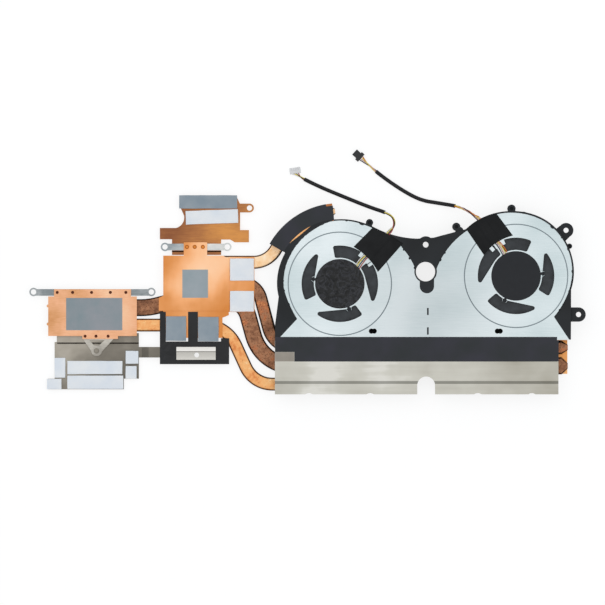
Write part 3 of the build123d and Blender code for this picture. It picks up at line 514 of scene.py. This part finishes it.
def line_of(route):
    """Points along a lead's smooth line, from a curve that has the lead's route as its control points."""
    curve = bpy.data.curves.new("route", "CURVE")
    curve.dimensions = "3D"
    spline = curve.splines.new("NURBS")
    spline.points.add(len(route) - 1)
    for point, spot in zip(spline.points, route):
        point.co = (*place_of(*spot), 1.0)
    spline.order_u = 3
    spline.use_endpoint_u = True
    spline.resolution_u = 12
    holder = bpy.data.objects.new("route", curve)
    line = [v.co.copy() for v in bpy.data.meshes.new_from_object(holder).vertices]
    bpy.data.objects.remove(holder)
    return line


# The sleeve is shrunk tubing with a satin skin. The plugs are small nylon mouldings with a soft shine.
shrink_sleeve = plain("black_shrink_sleeve", "#18181A", Roughness=0.45, Specular_IOR_Level=0.3)
dress(plain("white_plug_nylon", "#E6E6E7", Roughness=0.4), "connector_left")
dress(plain("black_plug_nylon", "#1A1B1D", Roughness=0.42), "connector_right")

sleeve_radius = 1.15
lead_floor = sleeve_radius
contact_level = 0.95
left_route = [
    (48.0, 36.9, 12.2), (49.8, 38.6, 12.0), (50.9, 40.9, 11.4), (50.8, 43.4, 10.5), (49.6, 45.7, 9.3),
    (47.3, 47.4, 7.8), (43.6, 48.9, 5.8), (39.4, 50.3, 3.6), (34.8, 52.0, 1.9), (29.4, 54.1, 1.0),
    (20.6, 57.7, lead_floor), (9.6, 62.2, lead_floor), (-0.6, 67.0, lead_floor), (-5.9, 69.9, lead_floor)]
right_route = [
    (100.0, 44.6, 12.2), (96.4, 47.4, 11.8), (92.6, 49.7, 10.2), (89.0, 51.3, 7.4), (85.0, 52.3, 4.4),
    (80.3, 53.1, 2.0), (74.9, 54.0, 1.0), (69.0, 54.9, lead_floor), (63.2, 57.0, lead_floor),
    (56.2, 60.9, lead_floor), (47.4, 66.7, lead_floor), (38.8, 73.3, lead_floor), (31.6, 80.0, lead_floor)]
bundle_radius = 0.00042
row_pitch = 0.00065
leaving_reach = 0.005
leaving_lift = 0.00015

# Each lead's route, length and bare ends in metres, its plug's place, turn and contact pitch in millimetres and
# degrees, and its wires' turns in a metre and at the start
leads = {"left": (left_route, 0.0728, 0.0160, 0.0042, (-6.9, 71.0), 189.0, 1.25, -33.0, 0.23),
         "right": (right_route, 0.0813, 0.0170, 0.0105, right_route[-1][:2], 227.0, 0.95, 67.0, 0.03)}
for side, (route, length, bare_start, bare_end, plug, plug_turn, contact_pitch, twist, first) in leads.items():
    line = line_of(route)
    reach = [0.0]
    for near, far in zip(line, line[1:]):
        reach.append(reach[-1] + (far - near).length)
    whole = reach[-1]

    form = bmesh.new()
    covered = [p for p, r in zip(line, reach) if bare_start < r < whole - bare_end]
    tube(form, covered, sleeve_radius * 0.001, 12)
    sleeve = piece(f"lead_sleeve_{side}", form, shrink_sleeve)

    for k, colour in enumerate(wire_colours[side]):
        points = []
        for n, (here, r) in enumerate(zip(line, reach)):
            heading = (line[min(n + 1, len(line) - 1)] - line[max(n - 1, 0)]).normalized()
            across = Vector((0, 0, 1)).cross(heading).normalized()
            up = heading.cross(across).normalized()
            turn = 2 * pi * (k / 4 + r * twist + first)
            leaving = 1 - smooth(r / leaving_reach)
            joining = 1 - smooth((whole - r) / bare_end)
            sideways = (k - 1.5) * row_pitch * leaving + bundle_radius * cos(turn) * (1 - leaving)
            upward = bundle_radius * sin(turn) * (1 - leaving) + leaving_lift * leaving
            contact = place_of(*around(plug, plug_turn, (k - 1.5) * contact_pitch, contact_level))
            points.append((here + across * sideways + up * upward).lerp(contact, joining))
        form = bmesh.new()
        tube(form, points, wire_radius)
        wire = piece(f"lead_wire_{side}_{colour}", form, coats[colour])
        if k == 0:
            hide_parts(f"lead_{side}")


# Heat pipes. Flattened copper tubes, filled and pinched shut, then soldered under the plates and fins.
# Two have gone brown in the solder oven, mottled with flux specks. The other two stayed orange.

def pipe_copper(name, *stops, speck=0.42):
    """Tube copper: blotches, fine dark specks, and painted shade where its face turns away from straight up."""
    material, tree, surface, place = new_material(name, Metallic=1.0)
    blotch = add(tree, "ShaderNodeTexNoise", {"Scale": per_mm(6.0), "Detail": 4.0, "Roughness": 0.65},
                 Vector=place)
    tone = add(tree, "ShaderNodeValToRGB", {"stops": stops}, Fac=blotch.outputs["Fac"]).outputs["Color"]
    specks = add(tree, "ShaderNodeTexNoise", {"Scale": per_mm(0.8), "Detail": 2.0}, Vector=place)
    marks = add(tree, "ShaderNodeValToRGB",
                {"stops": [(speck - 0.12, "#8A7468"), (speck, "#FFFFFF")]},
                Fac=specks.outputs["Fac"]).outputs["Color"]
    # Painted shade: the tube is darker where its face turns away from straight up, along its bends
    geometry = add(tree, "ShaderNodeNewGeometry")
    face = add(tree, "ShaderNodeSeparateXYZ", Vector=geometry.outputs["Normal"])
    edge = add(tree, "ShaderNodeValToRGB",
               {"stops": [(0.0, "#5A4236"), (0.8, "#5A4236"), (0.97, "#FFFFFF")]},
               Fac=face.outputs["Z"]).outputs["Color"]
    for layer in (marks, edge):
        tone = add(tree, "ShaderNodeMix", {"data_type": "RGBA", "blend_type": "MULTIPLY", "Factor": 1.0},
                   i6=tone, i7=layer).outputs[2]
    tree.links.new(tone, surface.inputs["Base Color"])
    rough = add(tree, "ShaderNodeMapRange", {"To Min": 0.3, "To Max": 0.5}, Value=blotch.outputs["Fac"])
    tree.links.new(rough.outputs["Result"], surface.inputs["Roughness"])
    bump = add(tree, "ShaderNodeBump", {"Strength": 0.3, "Distance": 0.00008}, Height=specks.outputs["Fac"])
    tree.links.new(bump.outputs["Normal"], surface.inputs["Normal"])
    return material


dress(pipe_copper("oven_browned_copper", (0.32, "#74503D"), (0.44, "#94674D"), (0.52, "#A97A5C"),
                  (0.6, "#B3714F"), (0.7, "#D8915F")), "heat_pipe_gpu", "heat_pipe_wide")
dress(pipe_copper("soldered_orange_copper", (0.34, "#DD8A52"), (0.45, "#F1AC6E"), (0.6, "#F7BF82"),
                  (0.7, "#FCD5A6"), speck=0.34), "heat_pipe_low")
dress(pipe_copper("pale_cleaned_copper", (0.34, "#EDB983"), (0.45, "#F8CC9B"), (0.6, "#FDDCB4"),
                  (0.7, "#FFE9CC"), speck=0.3), "heat_pipe_arc")


# Fins and their sheets. Thin folded sheets stand on a copper sheet, under a nickel-plated cover
# that is pressed down in a step. The cover has soft streaks along it and bent spots at its edge.

def rolled_metal(name, *stops, patch=20.0, roll=(1.0, 8.0, 1.0), streak=0.35, rough=(0.3, 0.4), middle=None,
                 reach=0.03, depth=0.02, fold=False):
    """Sheet metal: its tone wanders in patches and along rolling lines, is lighter towards its middle by a
    painted highlight, and with fold set has painted shade where its face turns away from straight up."""
    material, tree, surface, place = new_material(name, Metallic=1.0)
    rolled = add(tree, "ShaderNodeMapping", {"Scale": roll}, Vector=place)
    cloud = add(tree, "ShaderNodeTexNoise", {"Scale": per_mm(patch), "Detail": 3.0}, Vector=place)
    lines = add(tree, "ShaderNodeTexNoise", {"Scale": per_mm(patch / 4), "Detail": 4.0},
                Vector=rolled.outputs["Vector"])
    tone = add(tree, "ShaderNodeMath", {"operation": "MULTIPLY_ADD"}, i0=lines.outputs["Fac"],
               i2=cloud.outputs["Fac"])
    tone.inputs[1].default_value = streak
    span = 0.3
    # Painted highlight: the tone is lighter towards the middle, fading out at reach
    if middle:
        away = add(tree, "ShaderNodeVectorMath", {"operation": "DISTANCE"}, i0=place)
        away.inputs[1].default_value = place_of(*middle)
        light = add(tree, "ShaderNodeMapRange", {"From Max": reach, "To Min": 0.5, "To Max": 0.0},
                    Value=away.outputs["Value"])
        tone = add(tree, "ShaderNodeMath", {"operation": "ADD"}, i0=tone.outputs["Value"],
                   i1=light.outputs["Result"])
        span = 0.7
    # Noise keeps near its middle value, so the ramp spans that part of it
    low = 0.355 + 0.5 * streak
    level = add(tree, "ShaderNodeMapRange", {"From Min": low, "From Max": low + span},
                Value=tone.outputs["Value"])
    colour = add(tree, "ShaderNodeValToRGB", {"stops": stops}, Fac=level.outputs["Result"]).outputs["Color"]
    # Painted shade: with fold set, faces that turn away from straight up are darker
    if fold:
        geometry = add(tree, "ShaderNodeNewGeometry")
        upright = add(tree, "ShaderNodeSeparateXYZ", Vector=geometry.outputs["Normal"])
        slope = add(tree, "ShaderNodeValToRGB",
                    {"stops": [(0.9, "#8A8880"), (0.99, "#FFFFFF")]}, Fac=upright.outputs["Z"]).outputs["Color"]
        colour = add(tree, "ShaderNodeMix", {"data_type": "RGBA", "blend_type": "MULTIPLY", "Factor": 1.0},
                     i6=colour, i7=slope).outputs[2]
    tree.links.new(colour, surface.inputs["Base Color"])
    shine = add(tree, "ShaderNodeMapRange", {"To Min": rough[0], "To Max": rough[1]}, Value=lines.outputs["Fac"])
    tree.links.new(shine.outputs["Result"], surface.inputs["Roughness"])
    bump = add(tree, "ShaderNodeBump", {"Strength": 0.3, "Distance": depth * 0.001}, Height=lines.outputs["Fac"])
    tree.links.new(bump.outputs["Normal"], surface.inputs["Normal"])
    return material


dress(rolled_metal("mill_finish_aluminium", (0.0, "#B9BCBC"), (1.0, "#D6D8D7")), "fin_stack")
dress(rolled_metal("thin_fin_copper", (0.0, "#9A5E38"), (1.0, "#D08A55")), "arc_fin_stack")
dress(rolled_metal("cold_rolled_copper_sheet", (0.0, "#E29A5A"), (1.0, "#F4BB80")), "base_sheet")
# The cover's middle and reach place a painted highlight, and fold paints shade on its sloped faces
dress(rolled_metal("nickel_plate", (0.2, "#A9A598"), (0.55, "#BDBAAF"), (0.9, "#D0CEC4"), (1.0, "#DEDCD4"),
                   patch=34.0, roll=(0.2, 3.0, 1.0), streak=0.25, rough=(0.26, 0.36), middle=(0.0, -45.0, 12.0),
                   reach=0.2, depth=0.03, fold=True), "outlet_cover")

# The curved fins' own edge lies bare between the tape and the rim, as a sickle that is widest in its middle
sickle_start = 117
sickle_end = 141
sickle_radius = 37.75
sickle_width = 0.95
sickle_tip = 0.02
sickle_above_plate = 0.16
edges = []
for angle in range(sickle_start, sickle_end + 1):
    width = sickle_tip + sickle_width * sin(pi * (angle - sickle_start) / (sickle_end - sickle_start))
    edges.append((angle, sickle_radius - width, sickle_radius))
form = bmesh.new()
band(form, edges, module_top + sickle_above_plate, module_top)
bare = piece("bare_fin_edge", form, nodes["base_sheet"].data.materials[0])
bare.data.shade_flat()


# Tapes. Two strips of dark, matt polyester tape close the gaps between the back plate and the fins.
# The main one is cut out at its left end, where the adhesive has left a dull beige patch on the cover.

gap_tape, tree, surface, place = new_material("dark_polyester_tape", Roughness=0.55, Specular_IOR_Level=0.25)
cloud = add(tree, "ShaderNodeTexNoise", {"Scale": per_mm(16.0), "Detail": 2.0}, Vector=place)
ripple = add(tree, "ShaderNodeTexNoise", {"Scale": per_mm(5.0), "Detail": 2.0}, Vector=place)
bump = add(tree, "ShaderNodeBump", {"Strength": 0.25, "Distance": 0.0002}, Height=ripple.outputs["Fac"])
tint = add(tree, "ShaderNodeValToRGB",
           {"stops": [(0.3, "#2E3234"), (0.5, "#323439"), (0.7, "#373740")]}, Fac=cloud.outputs["Fac"])
tree.links.new(tint.outputs["Color"], surface.inputs["Base Color"])
tree.links.new(bump.outputs["Normal"], surface.inputs["Normal"])
dress(gap_tape, "gap_tape_main", "gap_tape_arc")


def block(form, low, high):
    """A plain block between two corners in millimetres."""
    middle = (place_of(*low) + place_of(*high)) / 2
    size = place_of(*high) - place_of(*low)
    bmesh.ops.create_cube(form, size=1.0, matrix=Matrix.Translation(middle) @ Matrix.Diagonal((*size, 1.0)))


# A dark block in the tape's material lies over the cover's right edge at the tape's end and darkens that edge
dark_block_corners = ((146.0, -39.0, 11.6), (147.0, -26.6, 12.1))
form = bmesh.new()
block(form, *dark_block_corners)
turned = piece("dark_block_at_tape_end", form, gap_tape)
turned.data.shade_flat()

adhesive_left = ((-18.9, -39.0, 12.0), (-7.75, -33.6, 12.04))
form = bmesh.new()
block(form, *adhesive_left)
patch = piece("adhesive_patch", form, plain("dried_adhesive", "#A1998E", Roughness=0.7))
patch.data.shade_flat()


# Cold plates. Flat copper, milled and polished, pinkish over the processor and more orange over the
# graphics chip. The regulator's sheet is thinner and has browned from the solder oven.

# The plates' middle and reach place their painted highlights
dress(rolled_metal("pink_milled_copper", (0.0, "#C58655"), (0.3, "#DBA070"), (0.6, "#F0B58D"),
                   (1.0, "#F7C9A4"), patch=16.0, roll=(1.0, 10.0, 1.0), middle=(-118.0, -10.0, 4.0), reach=0.034),
      "cpu_cold_plate")
dress(rolled_metal("orange_milled_copper", (0.1, "#D98A48"), (0.36, "#E59C60"), (0.52, "#F4AE76"),
                   (0.75, "#FDC495"), (1.0, "#FFD0A8"), patch=30.0, roll=(3.0, 1.0, 1.0), streak=0.1,
                   middle=(-60.0, 17.0, 4.0), reach=0.03), "gpu_cold_plate")
dress(rolled_metal("oxidised_sheet_copper", (0.0, "#8E5A3D"), (0.5, "#AE7449"), (1.0, "#D69453"), patch=22.0,
                   middle=(-36.0, 34.0, 2.5), reach=0.04), "vrm_plate")


# Springs, bracket and rivets. Plain steel strips pull the plates down, and copper rivets hold them.
# The strips are bare and satin, the bracket is greyer, and the rivets' sunk heads have burnt dark.
# Dark strips along the steps of the bracket and of the regulator's sheet are painted shade.

# The bright spring's and the bracket's middle and reach place their painted highlights
dress(rolled_metal("satin_spring_steel", (0.0, "#868D90"), (1.0, "#AEB2B3"), patch=12.0, roll=(1.0, 3.0, 1.0),
                   rough=(0.3, 0.45), depth=0.005), "cpu_spring")
dress(rolled_metal("bright_spring_steel", (0.0, "#98A0A4"), (0.5, "#BCC1C2"), (1.0, "#E4E3DE"), patch=14.0,
                   roll=(1.0, 3.0, 1.0), middle=(-50.0, 28.0, 3.0), reach=0.03, rough=(0.25, 0.4), depth=0.005),
      "gpu_spring")
clip_steel, tree, surface, place = new_material("brushed_clip_steel", Metallic=1.0, Roughness=0.32)
up_clip = add(tree, "ShaderNodeSeparateXYZ", Vector=place)
clip_front = -0.0381
clip_back = -0.0306
across_clip = add(tree, "ShaderNodeMapRange", {"From Min": clip_front, "From Max": clip_back},
                  Value=up_clip.outputs["Y"])
# Painted shade: the dark stop near 0.65 is a line of shade along the step across the clip, and the band above it
# is lighter
tint = add(tree, "ShaderNodeValToRGB",
           {"stops": [(0.0, "#D9D6CF"), (0.3, "#CAC7C0"), (0.58, "#C2BFB8"), (0.65, "#6F6B67"), (0.68, "#F1EEE9"),
                      (1.0, "#E6E3DE")]}, Fac=across_clip.outputs["Result"])
tree.links.new(tint.outputs["Color"], surface.inputs["Base Color"])
dress(clip_steel, "gpu_clip_spring")
dress(rolled_metal("tin_plated_bracket", (0.0, "#6B665D"), (0.4, "#857F75"), (0.8, "#ABA498"), (1.0, "#BDB6AC"),
                   patch=22.0, roll=(1.0, 2.5, 1.0), streak=0.15, middle=(-140.0, -32.0, 3.0), reach=0.032,
                   rough=(0.35, 0.5), depth=0.008), "bracket_sheet")
dress(rolled_metal("tin_plated_fork", (0.0, "#A39E95"), (1.0, "#CBC6BC"), patch=10.0, rough=(0.3, 0.45)),
      "cpu_v_spring")
dress(plain("burnt_rivet_copper", "#5B2A18", Metallic=0.7, Roughness=0.5), "cpu_rivets")
dress(plain("pressed_rivet_copper", "#D9853F", Metallic=1.0, Roughness=0.35), "gpu_rivets")

# Painted shade: a dark tube along the bracket's step, and dark strips on the regulator's sheet under the spring
bracket_step = ((-146.6, -28.35, 2.52), (-120.0, -28.35, 2.52), (-98.9, -28.35, 2.52))
bracket_shade_radius = 0.00035
regulator_steps = ((-79.4, -72.5), (-58.9, -50.4))
form = bmesh.new()
tube(form, [place_of(*p) for p in bracket_step], bracket_shade_radius)
for start, end in regulator_steps:
    block(form, (start, 25.0, 2.5), (end, 25.7, 2.58))
piece("painted_shade_in_steps", form, plain("painted_step_shade", "#241C18", Roughness=0.8, Specular_IOR_Level=0.1))

# The rims are real raised rings round the rivets, and their darker copper is painted shade of the embossing
gpu_rivets = [(-70.5, 28.0), (-66.0, 28.0), (-61.2, 28.0)]
rivet_radius = 1.0
rivet_top = 4.72
rivet_rim_radius = 0.00018
form = bmesh.new()
for rivet in gpu_rivets:
    ring = [place_of(*around(rivet, 15 * k, rivet_radius, rivet_top)) for k in range(25)]
    tube(form, ring, rivet_rim_radius, 6)
piece("rivet_rims", form, plain("shaded_rivet_rim_copper", "#B9641F", Metallic=1.0, Roughness=0.4))


# Insulating film. A glossy black sheet lies over the bracket's arm under the clip, creased at its left.
# The creases catch the light as soft streaks.

black_film, tree, surface, place = new_material("glossy_black_film", Roughness=0.3, Specular_IOR_Level=0.35)
creases = add(tree, "ShaderNodeTexVoronoi", {"feature": "DISTANCE_TO_EDGE", "Scale": per_mm(6.0)}, Vector=place)
left_end = add(tree, "ShaderNodeVectorMath", {"operation": "DISTANCE"}, i0=place)
left_end.inputs[1].default_value = place_of(-82.0, -33.0, 3.8)
share = add(tree, "ShaderNodeMapRange", {"From Max": 0.012, "To Min": 0.9, "To Max": 0.05},
            Value=left_end.outputs["Value"])
bump = add(tree, "ShaderNodeBump", {"Distance": 0.0006}, Height=creases.outputs["Distance"],
           Strength=share.outputs["Result"])
cloud = add(tree, "ShaderNodeTexNoise", {"Scale": per_mm(8.0)}, Vector=place)
tint = add(tree, "ShaderNodeValToRGB", {"stops": [(0.3, "#151618"), (0.7, "#1F2124")]}, Fac=cloud.outputs["Fac"])
tree.links.new(tint.outputs["Color"], surface.inputs["Base Color"])
tree.links.new(bump.outputs["Normal"], surface.inputs["Normal"])
dress(black_film, "black_film")


# Thermal paste and pads. The paste is a thin printed film of grey grease. The pads are soft silicone,
# cut by hand, so their edges are rounded and their tops a little uneven. Some are pale and some grey.

def printed_grease(name, low, high):
    """Grey grease in a thin film, with the soft strokes that its stencil left."""
    material, tree, surface, place = new_material(name, Roughness=0.5)
    stroke = add(tree, "ShaderNodeTexNoise", {"Scale": per_mm(9.0), "Detail": 3.0}, Vector=place)
    bump = add(tree, "ShaderNodeBump", {"Strength": 0.3, "Distance": 0.00008}, Height=stroke.outputs["Fac"])
    tint = add(tree, "ShaderNodeValToRGB", {"stops": [(0.3, low), (0.7, high)]}, Fac=stroke.outputs["Fac"])
    tree.links.new(tint.outputs["Color"], surface.inputs["Base Color"])
    tree.links.new(bump.outputs["Normal"], surface.inputs["Normal"])
    return material


dress(printed_grease("printed_thermal_grease", "#89979D", "#9A9EA4"), "cpu_paste")
dress(printed_grease("fresh_thermal_grease", "#98A6AC", "#A6AFB5"), "gpu_paste")


def silicone(name, low, high):
    """Filled silicone: a dull, faintly waxy skin with a few soft shades."""
    material, tree, surface, place = new_material(name, Roughness=0.65, Subsurface_Weight=0.05)
    surface.inputs["Subsurface Radius"].default_value = (0.0006, 0.0006, 0.0006)
    cloud = add(tree, "ShaderNodeTexNoise", {"Scale": per_mm(10.0), "Detail": 2.0}, Vector=place)
    grain = add(tree, "ShaderNodeTexNoise", {"Scale": per_mm(0.4), "Detail": 2.0}, Vector=place)
    bump = add(tree, "ShaderNodeBump", {"Strength": 0.2, "Distance": 0.00005}, Height=grain.outputs["Fac"])
    tint = add(tree, "ShaderNodeValToRGB", {"stops": [(0.3, low), (0.7, high)]}, Fac=cloud.outputs["Fac"])
    tree.links.new(tint.outputs["Color"], surface.inputs["Base Color"])
    tree.links.new(bump.outputs["Normal"], surface.inputs["Normal"])
    return material


pad_rounding = 0.00012
pad_wave = 0.006
pad_shift = 0.00012
pad_sink = 0.00008
# Noise vectors take their seed from the clock if none is set, and the pads would differ on each run
noise.seed_set(1)


def soft_pads(node, material):
    """A node's blocks with rounded edges and slightly uneven sides."""
    form = bmesh.new()
    form.from_mesh(nodes[node].data)
    bmesh.ops.remove_doubles(form, verts=form.verts, dist=1e-6)
    bmesh.ops.dissolve_limit(form, angle_limit=0.02, verts=form.verts, edges=form.edges)
    bmesh.ops.subdivide_edges(form, edges=form.edges, cuts=7, use_grid_fill=True)
    corners = [e for e in form.edges if e.is_manifold and e.calc_face_angle() > 1.0]
    bmesh.ops.bevel(form, geom=corners, offset=pad_rounding, segments=3, profile=0.5, affect="EDGES")
    for vert in form.verts:
        wave = noise.noise_vector(vert.co / pad_wave)
        vert.co += Vector((wave.x * pad_shift, wave.y * pad_shift, -abs(wave.z) * pad_sink))
    made = piece(f"soft_{node}", form, material)
    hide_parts(node)


pale_silicone = silicone("pale_silicone_pad", "#EAF1FA", "#F7FAFD")
grey_silicone = silicone("grey_silicone_pad", "#8B9AA6", "#9FAAB2")
for node in ("memory_pads_cpu", "memory_pads_side", "vrm_pad_light"):
    soft_pads(node, pale_silicone)
for node in ("memory_pads_gpu", "vrm_pad_grey"):
    soft_pads(node, grey_silicone)


# Stage. A matt white card lies on a table under a pale sky, with two large soft lamps at its sides.
# The camera stands straight above and high up, so that the module's sides hardly show.

scene = bpy.context.scene
scene.view_settings.view_transform = "Standard"
# The photograph's pixel in metres, its frame, and the pixel where the module's origin lies
photo_pixel = 0.000585
photo_pixels = 605
origin_pixel = (307.35, 294.7)
photo_middle = ((photo_pixels / 2 - origin_pixel[0]) * photo_pixel,
                (origin_pixel[1] - photo_pixels / 2) * photo_pixel)
camera_height = 6.0
plate_height = 0.012
eye = bpy.data.cameras.new("camera")
eye.sensor_width = 36.0
eye.sensor_height = 36.0
eye.lens = 36.0 * (camera_height - plate_height) / (photo_pixel * photo_pixels)
camera = bpy.data.objects.new("camera", eye)
camera.location = (*photo_middle, camera_height)
scene.collection.objects.link(camera)
scene.camera = camera

# The table lies a hair under the module, so that its face and the base sheet's don't fight
table_size = 1.6
table_drop = 0.0001
sheet = bmesh.new()
bmesh.ops.create_grid(sheet, x_segments=1, y_segments=1, size=table_size / 2)
mesh = bpy.data.meshes.new("table")
sheet.to_mesh(mesh)
table = bpy.data.objects.new("table", mesh)
scene.collection.objects.link(table)
table.location.z = -table_drop
white_card, tree, surface, place = new_material("white_card", Roughness=0.9)
surface.inputs["Base Color"].default_value = linear("#F2F2F2")

# Seen straight on or mirrored, the card is lit to white by itself, and keeps part of the shadows
card_glow = 0.72
card_strength = 1.12
seen = add(tree, "ShaderNodeLightPath")
direct = add(tree, "ShaderNodeMath", {"operation": "MAXIMUM"}, i0=seen.outputs["Is Camera Ray"],
             i1=seen.outputs["Is Glossy Ray"])
share = add(tree, "ShaderNodeMath", {"operation": "MULTIPLY"}, i0=direct.outputs["Value"])
share.inputs[1].default_value = card_glow
glow = add(tree, "ShaderNodeEmission", {"Color": (1, 1, 1, 1), "Strength": card_strength})
blend = add(tree, "ShaderNodeMixShader", i0=share.outputs["Value"], i1=surface.outputs["BSDF"],
            i2=glow.outputs["Emission"])
tree.links.new(blend.outputs["Shader"], tree.nodes["Material Output"].inputs["Surface"])
mesh.materials.append(white_card)

world = bpy.data.worlds.new("studio")
scene.world = world
world.use_nodes = True
tree = world.node_tree
way = add(tree, "ShaderNodeSeparateXYZ", Vector=add(tree, "ShaderNodeTexCoord").outputs["Generated"])
sky = add(tree, "ShaderNodeValToRGB",
          {"stops": [(0.0, "#8E9194"), (0.35, "#B8BBBE"), (0.75, "#F2F4F6"), (1.0, "#FCFDFE")]},
          Fac=way.outputs["Z"]).outputs["Color"]
tree.links.new(sky, tree.nodes["Background"].inputs["Color"])
tree.nodes["Background"].inputs["Strength"].default_value = 0.86

lamps = (("key_light", (-0.5, 0.6, 1.3), 1.3, 2.8), ("fill_light", (0.7, -0.2, 1.2), 1.2, 1.4))
for name, where, size, power in lamps:
    lamp = bpy.data.lights.new(name, "AREA")
    lamp.size = size
    lamp.energy = power
    light = bpy.data.objects.new(name, lamp)
    light.location = where
    light.rotation_euler = (-Vector(where)).to_track_quat("-Z", "Y").to_euler()
    scene.collection.objects.link(light)
